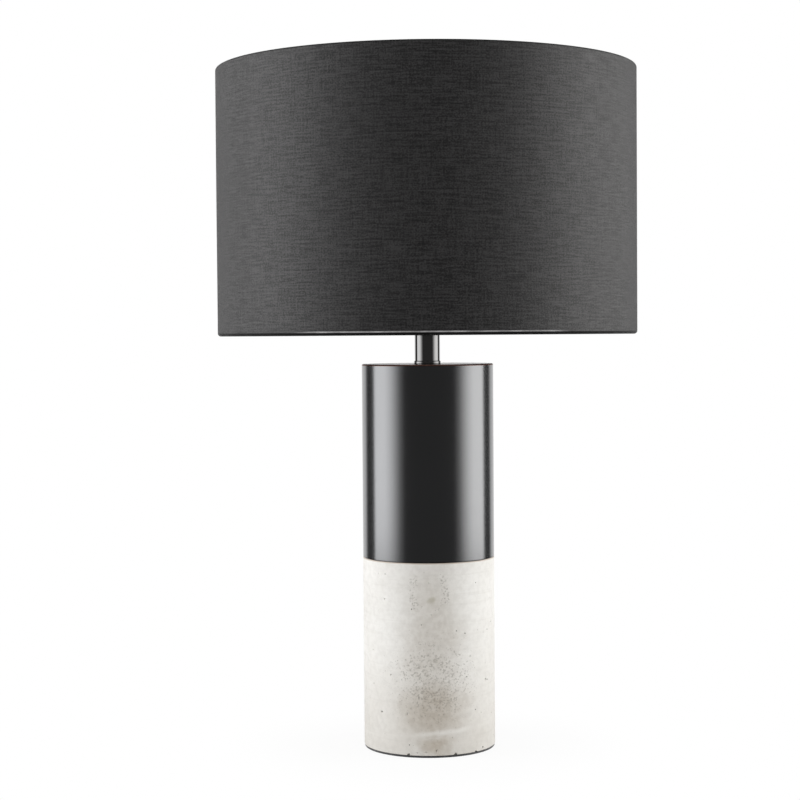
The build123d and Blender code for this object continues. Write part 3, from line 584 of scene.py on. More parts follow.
def finished(name, shape, finish, sharp=SHARP):
    """A piece from a mesh in the making: doubles merged, faces outwards, smooth but for sharp edges."""
    bmesh.ops.remove_doubles(shape, verts=shape.verts, dist=1e-7)
    bmesh.ops.recalc_face_normals(shape, faces=shape.faces)
    mesh = bpy.data.meshes.new(name)
    shape.to_mesh(mesh)
    shape.free()
    mesh.materials.append(finish)
    smooth(mesh, sharp)
    return added(name, mesh)


def settle(piece, sharp=SHARP):
    """Keeps what the piece's modifiers make as its plain mesh."""
    view = bpy.context.evaluated_depsgraph_get()
    mesh = bpy.data.meshes.new_from_object(piece.evaluated_get(view), depsgraph=view)
    piece.modifiers.clear()
    piece.data = mesh
    smooth(mesh, sharp)


def cut(piece, cutter):
    """Takes the cutter's shape out of the piece."""
    change = piece.modifiers.new("cut", "BOOLEAN")
    set_up(change, object=cutter, operation="DIFFERENCE", solver="EXACT")
    settle(piece)
    bpy.data.objects.remove(cutter)


def skin(shape, lower, upper):
    """Faces all round between two rings of points. A ring of one point makes a tip."""
    sides = max(len(lower), len(upper))
    for at in range(sides if sides > 1 else 0):
        after = (at + 1) % sides
        corners = [lower[at % len(lower)], lower[after % len(lower)]]
        corners += [upper[after % len(upper)], upper[at % len(upper)]]
        shape.faces.new(dict.fromkeys(corners))


def spin(shape, outline, segments, place_at, reach=None):
    """Turns an outline (radius, height) about an axis. place_at(radius, angle, height) gives the point."""
    rings = []
    for radius, height in outline:
        ring = []
        for spoke in range(segments if radius > 1e-6 else 1):
            angle = FULL_TURN * spoke / segments
            out = reach(radius, angle, height) if reach else radius
            ring.append(shape.verts.new(place_at(out, angle, height)))
        rings.append(ring)
    for lower, upper in zip(rings, rings[1:] + rings[:1]):
        skin(shape, lower, upper)


def upright(x=0):
    """Points about an upright axis at x."""

    def point(radius, angle, height):
        return (x + radius * cos(angle)) * MM, radius * sin(angle) * MM, height * MM

    return point


def forwards(height_of_axis, sign=-1):
    """Points about a level axis that runs to the front (sign -1) or the back (sign 1)."""

    def point(radius, angle, along):
        height = (height_of_axis + radius * sin(angle)) * MM
        return radius * cos(angle) * MM, sign * along * MM, height

    return point


def steadied(outline):
    """The closed outline with a point close beside each bend, so that the long runs shade straight."""
    points = [Vector(point) for point in outline]
    steady = []
    for number, here in enumerate(points):
        after = points[(number + 1) % len(points)]
        beyond = points[(number + 2) % len(points)]
        run = (after - here).length
        short_before = (here - points[number - 1]).length
        short_after = (beyond - after).length
        steady.append(here)
        if run > 5 * short_before:
            steady.append(here.lerp(after, short_before / run))
        if run > 5 * short_after:
            steady.append(after.lerp(here, short_after / run))
    return steady


def turned(name, outline, finish, segments=128, place_at=upright(), reach=None):
    """A turned piece, from its closed outline."""
    shape = bmesh.new()
    spin(shape, steadied(outline), segments, place_at, reach)
    return finished(name, shape, finish)


def wire(shape, line, radius, sides, bound=None):
    """A round wire along a line (x, z). bound may move a point of its skin."""
    points = [Vector((x, 0, z)) * MM for x, z in line]
    forth = Vector((0, 1, 0))
    rings = []
    for number, point in enumerate(points):
        before = points[max(0, number - 1)]
        after = points[min(len(points) - 1, number + 1)]
        side = (after - before).normalized().cross(forth)
        ring = []
        for spoke in range(sides):
            angle = FULL_TURN * spoke / sides
            spot = point + radius * MM * (cos(angle) * side + sin(angle) * forth)
            ring.append(shape.verts.new(bound(spot) if bound else spot))
        rings.append(ring)
    for lower, upper in zip(rings, rings[1:]):
        skin(shape, lower, upper)
    shape.faces.new(rings[0])
    shape.faces.new(rings[-1])


def dress(piece, body, *nodes):
    """The piece moves with a body and stands for these nodes, whose own pieces are hidden."""
    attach(piece, body)
    if nodes:
        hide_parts(*nodes)
    finish = next(material.name for material in piece.data.materials if material)
    finish = finish.partition(".")[0]


def lathe(body, node, name, finish, corners, *turning):
    """A turned piece with rounded corners, in place of a node of its body."""
    dress(turned(name, rounded(corners), finish, *turning), body, node)


def repaint(finish, *nodes):
    """Nodes of the frame whose shape is right get their finish."""
    for node in nodes:
        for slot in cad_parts[node].material_slots:
            slot.material = finish


# ======== geometry node trees
def shape_tree(name, *inputs):
    """A geometry tree with a mesh input, these named inputs and a mesh output."""
    return group(name, ("Shape", *inputs, "Finish"), ("Shape",), "GeometryNodeTree")


def real_mesh(instances):
    return made(instances.tree, "GeometryNodeRealizeInstances", {"Geometry": instances})


def complete(tree, shape, given, result):
    """Ends a geometry tree with a real mesh in its finish."""
    inputs = {"Geometry": real_mesh(shape), "Material": given["Finish"]}
    feed(result["Shape"], made(tree, "GeometryNodeSetMaterial", inputs))
    return tree


def circle(tree, radius, steps):
    return made(tree, "GeometryNodeCurvePrimitiveCircle", {"Radius": radius, "Resolution": steps})


def swept(path, section):
    return made(path.tree, "GeometryNodeCurveToMesh", {"Curve": path, "Profile Curve": section})


def copied(points, shape, **inputs):
    """A copy of the shape at each point."""
    inputs = {"Points": points, "Instance": shape, **inputs}
    return made(points.tree, "GeometryNodeInstanceOnPoints", inputs)


def grow(piece, tree, **values):
    """Runs a geometry tree on the piece with these inputs and keeps the result."""
    change = piece.modifiers.new(tree.name, "NODES")
    change.node_group = tree
    for item in tree.interface.items_tree:
        key = item.name.replace(" ", "_")
        if item.in_out == "INPUT" and key in values:
            change[item.identifier] = values[key]
    settle(piece)


def turned_ring_tree():
    """Sweeps a closed outline of edges, drawn from Path Radius outwards, round the lamp's axis."""
    tree, given, result = shape_tree("turned_ring", "Path Radius", "Steps")
    outline = made(tree, "GeometryNodeMeshToCurve", {0: given["Shape"]})
    ring = swept(circle(tree, given["Path Radius"], given["Steps"]), outline)
    return complete(tree, ring, given, result)


def wire_frame_tree():
    """Two rings of wire, one above the other."""
    inputs = ("Ring Radius", "Wire Radius", "Lower Ring", "Upper Ring")
    tree, given, result = shape_tree("shade_wire_frame", *inputs)
    ring = swept(circle(tree, given["Ring Radius"], 240), circle(tree, given["Wire Radius"], 16))
    join = place(tree, "GeometryNodeJoinGeometry")
    for height in ("Upper Ring", "Lower Ring"):
        level = made(tree, "ShaderNodeCombineXYZ", {2: given[height]})
        moved = made(tree, "GeometryNodeTransform", {"Geometry": ring, "Translation": level})
        feed(join.inputs[0], moved)
    return complete(tree, Value(join.outputs[0]), given, result)


def repeat_round_tree():
    """Repeats the input mesh round the lamp's axis."""
    tree, given, result = shape_tree("repeat_round_axis", "Count", "Start")
    spots = made(tree, "GeometryNodeMeshLine", {"Count": given["Count"], "Offset": (0, 0, 0)})
    number = made(tree, "GeometryNodeInputIndex")
    turn = number.scaled(FULL_TURN / given["Count"], given["Start"])
    angles = made(tree, "ShaderNodeCombineXYZ", {2: turn})
    return complete(tree, copied(spots, given["Shape"], Rotation=angles), given, result)


def pinhole_tree():
    """Cuts small round pores into the outer wall, most of them in one patch."""
    inputs = ("Wall Radius", "Density", "Patch Density", "Patch Centre", "Patch Reach")
    tree, given, result = shape_tree("cast_pinholes", *inputs, "Smallest", "Largest", "Seed")
    spot = made(tree, "GeometryNodeInputPosition")
    out = spot.vector("MULTIPLY", (1, 1, 0)).length()
    on_wall = maths("GREATER_THAN", out, given["Wall Radius"] - 0.0001)
    away = spot.vector("DISTANCE", given["Patch Centre"], out="Value")
    near = made(tree, "ShaderNodeMapRange", {0: away, 2: given["Patch Reach"], 3: 1, 4: 0})
    density = near.scaled(given["Patch Density"], given["Density"]) * on_wall
    inputs = {"Mesh": given["Shape"], "Density": density, "Seed": given["Seed"]}
    spread = made(tree, "GeometryNodeDistributePointsOnFaces", inputs)
    ball = made(tree, "GeometryNodeMeshIcoSphere", {"Radius": 1, "Subdivisions": 2})
    chance = made(tree, "FunctionNodeRandomValue", {"Seed": given["Seed"]}, 1, data_type="FLOAT")
    inputs = {0: maths("POWER", chance, 4), 3: given["Smallest"], 4: given["Largest"]}
    pores = copied(spread, ball, Scale=made(tree, "ShaderNodeMapRange", inputs))
    inputs = {"Mesh 1": given["Shape"], "Mesh 2": real_mesh(pores), "Self Intersection": True}
    hollow = made(tree, "GeometryNodeMeshBoolean", inputs, operation="DIFFERENCE", solver="EXACT")
    return complete(tree, hollow, given, result)


# ======== foot: pad, concrete and cord inlet
def make_pad():
    corners = [(0, 0), (PAD_RADIUS, 0, 0.5), (PAD_RADIUS, PAD_TOP, 0.4), (0, PAD_TOP)]
    lathe("lamp_base", "foot_pad", "felt_foot", FELT, corners, 192)


def make_breaks(rng):
    """Small broken spots along the lower edge and a few larger pinholes, as cutters."""
    chips = ((-19.5, 2.6), (21.5, 3.2), (43, 2.2), (118, 2.4), (203, 2.8), (-104, 2.1))
    lumps = [(azimuth, PAD_TOP, size, 0.55 * size) for azimuth, size in chips]
    for azimuth, height, size in (
        (-41.5, 162.8, 0.75), (-18.5, 11.3, 0.75), (33, 71, 0.7), (141, 96, 0.8), (228, 52, 0.7),
    ):
        lumps.append((azimuth, height, size, 0.1 * size))
    shape = bmesh.new()
    for azimuth, height, size, out in lumps:
        angle = radians(azimuth - 90)
        reach = BASE_RADIUS + out
        middle = Vector((reach * cos(angle), reach * sin(angle), height))
        for vert in bmesh.ops.create_icosphere(shape, subdivisions=2, radius=size * MM)["verts"]:
            vert.co = vert.co * rng.uniform(0.72, 1.18) + middle * MM
    return finished("edge_breaks", shape, CONCRETE)


def make_concrete():
    rows = [(BASE_RADIUS, PAD_TOP + 2.4 * step) for step in range(1, 71)]
    outline = rounded([
        (RECESS_RADIUS, PAD_TOP), (BASE_RADIUS, PAD_TOP, 0.4), *rows, (BASE_RADIUS, CONCRETE_TOP, 1),
        (PIPE_HOLE, CONCRETE_TOP), (PIPE_HOLE, RECESS_TOP), (RECESS_RADIUS, RECESS_TOP),
    ])
    shape = bmesh.new()
    spin(shape, outline, 256, upright())
    concrete = finished("concrete_cylinder", shape, CONCRETE)
    outside = 62
    for name, bottom, radius, segments in (
        ("channel_cutter", 30, CORD_CHANNEL, 48),
        ("seat_cutter", SPOT_FACE_SEAT, SPOT_FACE, 64),
    ):
        bore = [(0, bottom), (radius, bottom), (radius, outside), (0, outside)]
        cut(concrete, turned(name, bore, CONCRETE, segments, forwards(CORD_HEIGHT, 1)))
    cut(concrete, make_breaks(random.Random(11)))
    pores = {"Density": 2600.0, "Smallest": 0.00022, "Largest": 0.00085, "Seed": 7, "Finish": CONCRETE}
    patch = {"Patch_Density": 8000.0, "Patch_Centre": (0.01, -0.06, 0.072), "Patch_Reach": 0.062}
    grow(concrete, pinhole_tree(), Wall_Radius=BASE_RADIUS * MM, **pores, **patch)
    dress(concrete, "lamp_base", "concrete_base")


def make_bushing():
    corners = [
        (3.7, 43.4), (5.8, 43.4, 0.4), (5.8, SPOT_FACE_SEAT), (8, SPOT_FACE_SEAT), (8, 59.4, 0.7),
        (5.1, 59.4, 0.3), (3.7, 58.6, 0.4),
    ]
    axis = forwards(CORD_HEIGHT, 1)
    lathe("lamp_base", "cord_bushing", "cord_inlet_bushing", BUSHING_PLASTIC, corners, 64, axis)


# ======== sleeve and neck
def make_sleeve():
    path = 20
    inner = BASE_RADIUS - SLEEVE_WALL
    under_top = SLEEVE_TOP - 1.5
    corners = [
        (inner, CONCRETE_TOP), (BASE_RADIUS, CONCRETE_TOP, 0.3), (BASE_RADIUS, 230), (BASE_RADIUS, 290),
        (BASE_RADIUS, SLEEVE_TOP, 1.5), (PIPE_HOLE, SLEEVE_TOP), (PIPE_HOLE, under_top), (inner, under_top),
    ]
    outline = steadied(rounded(corners, step=radians(11)))
    mesh = bpy.data.meshes.new("black_sleeve")
    points = [((radius - path) * MM, -height * MM, 0) for radius, height in outline]
    mesh.from_pydata(points, [(at, (at + 1) % len(points)) for at in range(len(points))], [])
    sleeve = added("black_sleeve", mesh)
    grow(sleeve, turned_ring_tree(), Path_Radius=path * MM, Steps=256, Finish=LACQUER)
    dress(sleeve, "lamp_base", "metal_sleeve")


def make_neck():
    plug = 3
    for node, name, corners in (
        ("neck_collar", "neck_foot_collar", [
            (PIPE_HOLE, SLEEVE_TOP), (COLLAR_RADIUS, SLEEVE_TOP, 0.2), (COLLAR_RADIUS, NECK_BOTTOM, 0.5),
            (NECK_BORE, NECK_BOTTOM), (NECK_BORE, NECK_BOTTOM + plug), (PIPE_HOLE, NECK_BOTTOM + plug),
        ]),
        ("neck_tube", "neck_bar", [
            (NECK_BORE, NECK_BOTTOM), (NECK_RADIUS, NECK_BOTTOM, 0.2), (NECK_RADIUS, 374),
            (NECK_RADIUS, NECK_TOP, 0.2), (NECK_BORE, NECK_TOP),
        ]),
        ("neck_cap", "neck_head_cap", [
            (PIPE_HOLE, NECK_TOP - plug), (NECK_BORE, NECK_TOP - plug), (NECK_BORE, NECK_TOP),
            (COLLAR_RADIUS, NECK_TOP, 0.2), (COLLAR_RADIUS, SADDLE, 0.5), (PIPE_HOLE, SADDLE),
        ]),
    ):
        lathe("lamp_base", node, name, NICKEL, corners)


# ======== harp saddle and socket
def make_saddle():
    """A bent strip: a disc in the middle, arms out to the legs and narrow prongs up."""
    disc = 11
    arm = 3.5
    prong = 2.2
    end = 35.05
    prong_top = 416
    level = SADDLE + SADDLE_THICKNESS / 2
    corners = [(-end, prong_top), (-end, level, 5.8), (end, level, 5.8), (end, prong_top)]
    middle = rounded(corners, closed=False, step=radians(9))
    line = []
    for first, second in zip(middle, middle[1:]):
        parts = 44 if (second - first).length > 30 else 1
        line += [first.lerp(second, part / parts) for part in range(parts)]
    line.append(middle[-1])
    shape = bmesh.new()
    sections = []
    for number, point in enumerate(line):
        ahead = line[min(number + 1, len(line) - 1)] - line[max(number - 1, 0)]
        side = Vector((-ahead.y, ahead.x)).normalized() * SADDLE_THICKNESS / 2
        half = prong if point.y > SADDLE + 6 else arm
        if abs(point.x) < disc and point.y < SADDLE + 1:
            half = max(arm, sqrt(disc**2 - point.x**2))
        section = []
        for offset, depth in ((side, -half), (side, half), (-side, half), (-side, -half)):
            spot = point + offset
            section.append(shape.verts.new((spot.x * MM, depth * MM, spot.y * MM)))
        sections.append(section)
    for lower, upper in zip(sections, sections[1:]):
        skin(shape, lower, upper)
    shape.faces.new(sections[0])
    shape.faces.new(sections[-1])
    saddle = finished("harp_saddle_strip", shape, SATIN_NICKEL)
    softened = saddle.modifiers.new("soft_edges", "BEVEL")
    set_up(softened, width=0.25 * MM, segments=2, limit_method="ANGLE", angle_limit=radians(40))
    settle(saddle)
    dress(saddle, "lamp_base", "harp_saddle")


def side_window(name):
    """A cutter for the round hole that the switch shaft comes out of."""
    outline = [(0, 10), (3.5, 10), (3.5, 20), (0, 20)]
    return turned(name, outline, SATIN_NICKEL, 48, forwards(SHAFT))


def make_socket():
    stem = 5
    inner = 17.5
    foot = CUP_SEAT - 1
    lathe("lamp_base", "socket_cap", "socket_cap_cup", SATIN_NICKEL, [
        (stem, 399.1), (7, 399.1, 0.4), (7, foot, 0.6), (CUP_RADIUS, foot, 3), (CUP_RADIUS, 418.6, 0.5),
        (18.1, 419.3, 0.4), (CUP_RADIUS, 420, 0.5), (CUP_RADIUS, 421.1, 0.35), (inner, 421.1),
        (inner, CUP_SEAT, 2.2), (stem, CUP_SEAT),
    ])
    screw = [(0, 5), (1.5, 5), (1.5, 8.5, 0.25), (0.7, 8.5), (0.7, 7.6), (0, 7.6)]
    lathe("lamp_base", "socket_set_screw", "cap_set_screw", ZINC, screw, 32, forwards(403.1, 1))
    groove = ((SHELL_RADIUS, -1), (17.1, -0.55), (17, 0), (17.1, 0.55), (SHELL_RADIUS, 1))
    grooves = [(radius, height + rise) for height in (434, 437.2, 440.4) for radius, rise in groove]
    lip = SHELL_TOP - 1
    shell = turned("socket_shell_body", rounded([
        (16.7, CUP_SEAT), (SHELL_RADIUS, CUP_SEAT), *grooves, (SHELL_RADIUS, SHELL_TOP, 0.8),
        (15, SHELL_TOP, 0.3), (15, lip), (16.7, lip),
    ]), SATIN_NICKEL)
    cut(shell, side_window("shell_window"))
    dress(shell, "lamp_base", "socket_shell")
    card = [(15.7, CUP_SEAT), (16.6, CUP_SEAT), (16.6, lip), (15.7, lip)]
    liner = turned("socket_card_liner", card, CARD, 96)
    cut(liner, side_window("liner_window"))
    dress(liner, "lamp_base", "socket_liner")


def ripple(angle, count=1):
    """A wave that runs from 0 to 1 and back this many times in a turn."""
    return 0.5 + 0.5 * cos(count * angle)


def threaded(name, finish, wall_out, wall_in, depth, bottom, top, plain=1.5):
    """A thin shell with a rolled round thread between a plain rim and a plain foot."""
    shape = bmesh.new()
    steps = int((top - bottom) / THREAD_PITCH * 10)
    levels = [bottom + (top - bottom) * step / steps for step in range(steps + 1)]

    def reach(radius, angle, height):
        into = min(height - bottom, top - height) - plain
        fade = min(1, max(0, into / THREAD_PITCH))
        return radius - depth * fade * ripple(angle - FULL_TURN * height / THREAD_PITCH)

    outline = [(wall_out, level) for level in levels]
    outline += [(wall_in, level) for level in reversed(levels)]
    spin(shape, outline, 96, upright(), reach)
    return finished(name, shape, finish)


def make_contacts():
    shell = threaded("lamp_screw_shell", BRASS, 14.4, 14.1, 0.45, BLOCK_TOP, 454.1)
    dress(shell, "lamp_base", "screw_shell")
    corners = [(0, 429.2), (1.5, 429.2), (1.5, BLOCK_TOP), (5, BLOCK_TOP), (5, 432.9, 0.3), (0, 432.9)]
    lathe("lamp_base", "centre_contact", "centre_contact_button", BRASS, corners, 64)
    repaint(PORCELAIN, "socket_block")
    repaint(BRASS, "terminal_screws")
    repaint(ZINC, "bottom_washer", "lock_washer", "bottom_nut", "threaded_pipe", "centring_plate")


def make_switch():
    rod = SHAFT_RADIUS
    corners = [(0, 2), (rod, 2), (rod, 7), (4, 7, 0.3), (4, 12, 0.3), (rod, 12), (rod, 37, 0.3), (0, 37)]
    lathe("switch", "switch_shaft", "switch_shaft_rod", BRASS, corners, 48, forwards(SHAFT))

    def flutes(radius, angle, along):
        if radius < 6:
            return radius
        return radius - 0.75 * max(0, cos(16 * angle)) ** 1.6

    bore = SHAFT_RADIUS + 0.05
    corners = [
        (bore, 23), (KNOB_RADIUS, 23, 0.8), (KNOB_RADIUS, 30), (KNOB_RADIUS, 38, 1.2), (3.4, 38, 0.4),
        (3, 37.5, 0.3), (0, 37.5), (0, 37.05), (bore, 37.05),
    ]
    turning = (160, forwards(SHAFT), flutes)
    lathe("switch", "switch_knob", "switch_knob_fluted", KNOB_PLASTIC, corners, *turning)


# ======== bulb
def glass_outline(inset):
    """Outside or inside of the bulb's glass, from its open foot to its crown."""
    neck = 12.4 - inset
    belly = BULB_RADIUS - inset
    line = [Vector((neck, 452 + inset)), Vector((neck, 455)), Vector((neck, BULB_BASE_TOP))]
    rise = BULB_BELLY - BULB_BASE_TOP
    pull = hypot(belly - neck, rise)
    for step in range(1, 22):
        along = step / 21
        ease = 3 * along**2 - 2 * along**3
        lift = along**3 - 2 * along**2 + along
        drop = along**3 - along**2
        height = BULB_BASE_TOP + rise * ease + pull * (lift + drop)
        line.append(Vector((neck + (belly - neck) * ease, height)))
    for step in range(1, 17):
        angle = pi / 2 * step / 16
        line.append(Vector((belly * cos(angle), BULB_BELLY + belly * sin(angle))))
    line[-1].x = 0
    return line


def make_bulb():
    inside = reversed(glass_outline(0.8))
    outline = [Vector((0, 452)), *glass_outline(0), *inside, Vector((0, 452.8))]
    glass = turned("opal_bulb_glass", outline, OPAL, 112)
    dress(glass, "bulb", "bulb_glass")
    base = threaded("bulb_screw_cap", ALUMINIUM, 13.1, 12.65, 0.5, BULB_BASE, BULB_BASE_TOP, plain=1.2)
    dress(base, "bulb", "bulb_screw_base")
    tip = 434.3
    corners = [(0, tip), (6.5, tip, 0.5), (12.4, BULB_BASE, 0.4), (12.4, 440), (0, 440)]
    lathe("bulb", "bulb_insulator", "bulb_black_insulator", BLACK_GLASS, corners, 96)
    corners = [(0, 433.1), (3.2, 433.1, 1), (4.5, 433.7, 0.3), (4.5, tip), (0, tip)]
    lathe("bulb", "bulb_contact", "bulb_foot_contact", SOLDER, corners, 64)
    repaint(STEM_GLASS, "bulb_stem")
    repaint(TUNGSTEN, "bulb_filament")


# ======== harp
def make_harp():
    corners = [
        (LEG, SADDLE + 11), (LEG, SADDLE + 54.5, 30), (LOOP, SADDLE + 86.5, 30),
        (LOOP, LOOP_TOP - 42.4, 55), (38, LOOP_TOP, 24), (9, LOOP_TOP),
    ]
    half = rounded(corners, closed=False, step=radians(4))
    foot_top = 416.2
    half[1:1] = [Vector((LEG, foot_top - 0.01)), Vector((LEG, foot_top + 0.01))]
    rows = []
    for low, high in ((412.1, 416.3), (416.7, 420.9)):
        rows += [(4.1, low - 0.1), (FERRULE_RADIUS, low), (FERRULE_RADIUS, high), (4.1, high + 0.1)]
    ferrule = [
        (3.4, FERRULE_BOTTOM), (FERRULE_RADIUS, FERRULE_BOTTOM, 0.5), (FERRULE_RADIUS, 411.7), *rows,
        (FERRULE_RADIUS, 421.3), (FERRULE_RADIUS, FERRULE_TOP, 0.5), (2.1, FERRULE_TOP), (2.1, 419),
        (3.4, 419),
    ]

    def knurl(radius, angle, height):
        if radius < 4.2 or not 412 < height < 421:
            return radius
        return radius - 0.22 * ripple(angle, 36)

    flat = (LEG + 0.15) * MM

    def half_round(spot):
        if spot.z < foot_top * MM and abs(spot.x) < flat:
            return Vector((copysign(flat, spot.x), spot.y, spot.z))
        return spot

    for side, name in ((1, "right"), (-1, "left")):
        shape = bmesh.new()
        wire(shape, [(side * x, z) for x, z in half], 2, 20, half_round)
        leg = finished("harp_side_" + name, shape, NICKEL)
        dress(leg, "harp", "harp_wire_" + name)
        names = ("ferrule_" + name, "ferrule_" + name, "ferrule_knurled_" + name)
        lathe(*names, SATIN_NICKEL, ferrule, 144, upright(side * LEG), knurl)
    repaint(SATIN_NICKEL, "harp_bridge")


def make_stud_and_finial():
    lathe("swivel_stud", "swivel_stud", "swivel_stud_turned", SATIN_NICKEL, [
        (0, 577.4), (4.5, 577.4, 0.5), (4.5, 578.8, 0.2), (2.95, 578.8), (2.95, 586), (9, 586, 0.4),
        (9, STUD_SEAT, 0.4), (5.4, STUD_SEAT), (5.4, STUD_SEAT + 1.2, 0.3), (3.1, STUD_SEAT + 1.2),
        (3.1, 599.4, 0.4), (0, 599.4),
    ], 96)
    top = FINIAL_WASHER + 1
    corners = [(3.3, FINIAL_WASHER), (8, FINIAL_WASHER, 0.25), (8, top, 0.3), (3.3, top)]
    lathe("finial_washer", "finial_washer", "finial_foot_washer", NICKEL, corners, 96)

    def coin_edge(radius, angle, height):
        if radius < 6.3 or height > FINIAL + 2.2:
            return radius
        return radius - 0.2 * ripple(angle, 48)

    bore = 3.15
    start = -0.62
    ball = []
    for step in range(18):
        angle = start + (pi / 2 - start) * step / 18
        ball.append((FINIAL_BALL * cos(angle), FINIAL + 12 + FINIAL_BALL * sin(angle)))
    lathe("finial", "finial", "finial_ball", NICKEL, [
        (bore, FINIAL), (FINIAL_FOOT, FINIAL, 0.3), (FINIAL_FOOT, FINIAL + 0.6), (FINIAL_FOOT, FINIAL + 1.9),
        (FINIAL_FOOT, FINIAL + 2.5, 0.3), (5.1, FINIAL + 3.3), (4.55, FINIAL + 4.3), (4.5, FINIAL + 5),
        (4.75, FINIAL + 6), *ball, (0, FINIAL + 20), (0, FINIAL + 10), (bore, FINIAL + 10),
    ], 144, upright(), coin_edge)


# ======== shade
def make_wire_frame():
    arm_height = HUB + RING_WIRE
    corners = [
        (RING_RADIUS, TOP_RING), (RING_RADIUS - 24, TOP_RING, 10), (RING_RADIUS - 50, arm_height, 10),
        (12.6, arm_height),
    ]
    line = rounded(corners, closed=False, step=radians(5))
    shape = bmesh.new()
    wire(shape, line, RING_WIRE, 16)
    arms = finished("spider_arms", shape, WHITE_WIRE)
    grow(arms, repeat_round_tree(), Count=SPIDER_ARMS, Start=BACK, Finish=WHITE_WIRE)
    shape = bmesh.new()
    outline = rounded([(5.5, HUB), (14, HUB, 0.3), (14, HUB + 1.6, 0.4), (5.5, HUB + 1.6)])
    spin(shape, outline, 96, upright())
    disc = finished("spider_hub", shape, WHITE_WIRE)
    dress(arms, "shade", "spider")
    dress(disc, "shade")
    rings = added("shade_rings", bpy.data.meshes.new("shade_rings"))
    radii = {"Ring_Radius": RING_RADIUS * MM, "Wire_Radius": RING_WIRE * MM}
    levels = {"Lower_Ring": BOTTOM_RING * MM, "Upper_Ring": TOP_RING * MM}
    grow(rings, wire_frame_tree(), Finish=WHITE_WIRE, **radii, **levels)
    dress(rings, "shade", "top_ring", "bottom_ring")


def make_liner():
    outer = SHADE_RADIUS - CLOTH
    low = SHADE_BOTTOM + FOLD + CLOTH
    high = SHADE_TOP - CLOTH
    outline = [(LINER_INNER, low), (outer, low), (outer, high), (LINER_INNER, high)]
    dress(turned("shade_inner_skin", outline, LINER, 256), "shade", "shade_liner")


def lap_step(angle):
    """How far the cloth stands out where its end laps over itself at the back, from 0 to 1."""
    run = (angle - BACK) * SHADE_RADIUS
    if run < LAP_START or run > LAP_END:
        return 0
    if run > LAP_END - LAP_EDGE:
        return (LAP_END - run) / LAP_EDGE
    return min(1, (run - LAP_START) / 5)


def make_shade():
    """One length of cloth round the drum: its end laps at the back and its edges turn in over the rings."""
    middle = SHADE_RADIUS - CLOTH / 2
    low = SHADE_BOTTOM + CLOTH / 2
    high = SHADE_TOP - CLOTH / 2
    wall = [(middle, low + (high - low) * step / 30) for step in range(1, 30)]
    line = rounded([
        (HEM_RADIUS, SHADE_BOTTOM + HEM_HEIGHT), (HEM_RADIUS, low, 2), (middle, low, FOLD), *wall,
        (middle, high, 0.9), (HEM_RADIUS, high, 2.2), (HEM_RADIUS, SHADE_TOP - HEM_HEIGHT),
    ], closed=False)
    notch = (RING_WIRE + 0.6) / HEM_RADIUS
    columns = {FULL_TURN * step / 360 for step in range(360)}
    columns |= {BACK + run / SHADE_RADIUS for run in (LAP_START, -6.5, -4, 5.6, LAP_END)}
    gaps = [(BACK + FULL_TURN * arm / SPIDER_ARMS) % FULL_TURN for arm in range(SPIDER_ARMS)]
    for gap in gaps:
        columns |= {gap - notch, gap + notch}
    columns = sorted(columns)
    lengths = [0]
    for first, second in zip(line, line[1:]):
        lengths.append(lengths[-1] + (second - first).length)
    shape = bmesh.new()
    cloth = shape.loops.layers.uv.new("cloth")
    point = upright()
    grid = []
    for radius, height in line:
        row = []
        for angle in columns:
            out = radius
            if radius > middle - 0.2:
                sway = sin(3 * angle + 0.02 * height) + 0.6 * sin(7 * angle - 0.03 * height)
                out += LAP_HEIGHT * lap_step(angle) + SWAY * (1.6 + sway)
            row.append(shape.verts.new(point(out, angle, height)))
        grid.append(row)
    for number, (lower, upper) in enumerate(zip(grid, grid[1:])):
        here = line[number]
        turned_in = line[number + 1].x < HEM_RADIUS + 2
        in_notch_rows = turned_in and TOP_RING - HEM_HEIGHT - 4 < here.y <= TOP_RING + RING_WIRE
        along = (lengths[number], lengths[number], lengths[number + 1], lengths[number + 1])
        for at, angle in enumerate(columns):
            after = (at + 1) % len(columns)
            span = columns[after] if after else FULL_TURN
            centre = (angle + span) / 2
            if in_notch_rows and any(abs(centre - gap) < notch for gap in gaps):
                continue
            face = shape.faces.new((lower[at], lower[after], upper[after], upper[at]))
            for loop, turn, run in zip(face.loops, (angle, span, span, angle), along):
                loop[cloth].uv = (turn * SHADE_RADIUS * MM, run * MM)
    shade = finished("drum_shade_cloth", shape, LINEN, radians(60))
    thick = shade.modifiers.new("cloth_thickness", "SOLIDIFY")
    set_up(thick, thickness=CLOTH * MM, offset=0, use_even_offset=True)
    settle(shade, radians(50))
    dress(shade, "shade", "shade_fabric")


# ======== light, floor and camera
def make_world():
    """White for the eye, white behind and dark in front for what shines, plain light for the rest."""
    world = bpy.data.worlds.new("studio")
    bpy.context.scene.world = world
    world.use_nodes = True
    tree = world.node_tree
    tree.nodes.clear()
    ray = outlets(place(tree, "ShaderNodeLightPath"))
    way = made(tree, "ShaderNodeTexCoord", out="Generated")
    up = way.part(2)
    level = maths("SQRT", 1 - up * up)
    back = (way.part(1) / level.most(0.001)).ramp(0.7, 0.76)
    shine = back.scaled(1 - WORLD_FRONT, WORLD_FRONT).most(up.ramp(0.45, 0.8) * WORLD_ABOVE)
    lit = ray["Is Glossy Ray"].mixed(WORLD_AMBIENT, shine)
    seen = ray["Is Camera Ray"].most(ray["Is Transmission Ray"])
    light = made(tree, "ShaderNodeBackground", {"Color": (1, 1, 1), "Strength": seen.mixed(lit, 1)})
    feed(place(tree, "ShaderNodeOutputWorld").inputs[0], light)


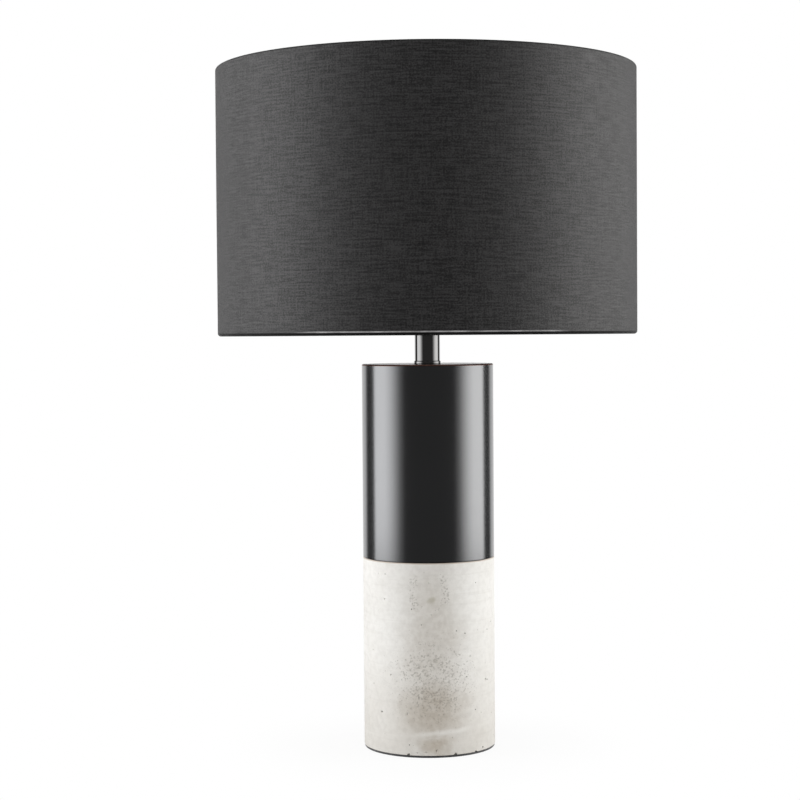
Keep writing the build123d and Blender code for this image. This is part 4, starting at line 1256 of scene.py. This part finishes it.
def make_softbox(name, turn, side, colour):
    """A tall curved soft light beside the lamp, in upright strips that fade towards the front."""
    for number, (near, far, level) in enumerate(SOFTBOX_STRIPS):
        bearing = radians((near + far) / 2 + turn) * side
        facing = Vector((sin(bearing), -cos(bearing), 0))
        light = bpy.data.lights.new(f"{name}_{number}", "AREA")
        width = 2 * SOFTBOX_DISTANCE * tan(radians((far - near) / 2))
        set_up(light, shape="RECTANGLE", color=colour, size=width, size_y=SOFTBOX_HEIGHT)
        light.energy = SOFTBOX_RADIANCE * level * pi * light.size * light.size_y
        lamp = added(light.name, light)
        lamp.location = facing * SOFTBOX_DISTANCE
        lamp.location.z = SOFTBOX_HEIGHT / 2 + SOFTBOX_BOTTOM
        lamp.rotation_euler = (-facing).to_track_quat("-Z", "Y").to_euler()
        lamp.visible_camera = False


def make_floor():
    """A plain pale floor that keeps the lamp's soft shadow and runs out into white."""
    shape = bmesh.new()
    point = upright()
    inner = [shape.verts.new((0, 0, 0))]
    for reach in (600, 2500, 9000):
        ring = [shape.verts.new(point(reach, FULL_TURN * step / 48, 0)) for step in range(48)]
        skin(shape, ring, inner)
        inner = ring
    finish, shader, where = surface("pale_floor", Roughness=0.9, Specular_IOR_Level=0)
    feed(shader["Base Color"], where.grain(300, 3).tint((0.8, 0.8, 0.8), (0.82, 0.82, 0.82)))
    tree = finish.node_tree
    ray = outlets(place(tree, "ShaderNodeLightPath"))
    out = where.length()
    behind = (where.part(1) / out).ramp(0.7, 0.76, WORLD_FRONT, 1)
    level = ray["Is Glossy Ray"].mixed(1, behind)
    white = made(tree, "ShaderNodeEmission", {"Color": (1, 1, 1), "Strength": level})
    seen = ray["Is Camera Ray"] * out.ramp(0.06, 0.2, 0.91, 1)
    paper = Value(tree.nodes["Principled BSDF"].outputs[0])
    inputs = {0: seen.most(ray["Is Glossy Ray"]), 1: paper, 2: white}
    feed(tree.nodes["Material Output"].inputs["Surface"], made(tree, "ShaderNodeMixShader", inputs))
    mesh = bpy.data.meshes.new("studio_floor")
    shape.to_mesh(mesh)
    shape.free()
    mesh.materials.append(finish)
    added("studio_floor", mesh)


def make_camera():
    view = bpy.data.cameras.new("front_view")
    focal = CAMERA_FOCAL * CAMERA_SENSOR / CAMERA_FRAME
    set_up(view, lens=focal, sensor_width=CAMERA_SENSOR, clip_end=60)
    camera = added("front_view", view)
    camera.location = (CAMERA_X, -CAMERA_DISTANCE, CAMERA_HEIGHT)
    camera.rotation_mode = "XYZ"
    camera.rotation_euler = (radians(90 - CAMERA_PITCH), 0, 0)
    camera.rotation_euler.rotate_axis("Z", radians(CAMERA_ROLL))
    bpy.context.scene.camera = camera


make_camera()
make_world()
make_floor()
make_softbox("left_softbox", -1, -1, LEFT_COLOUR)
make_softbox("right_softbox", 3, 1, RIGHT_COLOUR)
make_pad()
make_concrete()
make_bushing()
make_sleeve()
make_neck()
make_saddle()
make_socket()
make_contacts()
make_switch()
make_bulb()
make_harp()
make_stud_and_finial()
make_wire_frame()
make_liner()
make_shade()

bpy.context.scene.view_settings.view_transform = "Standard"
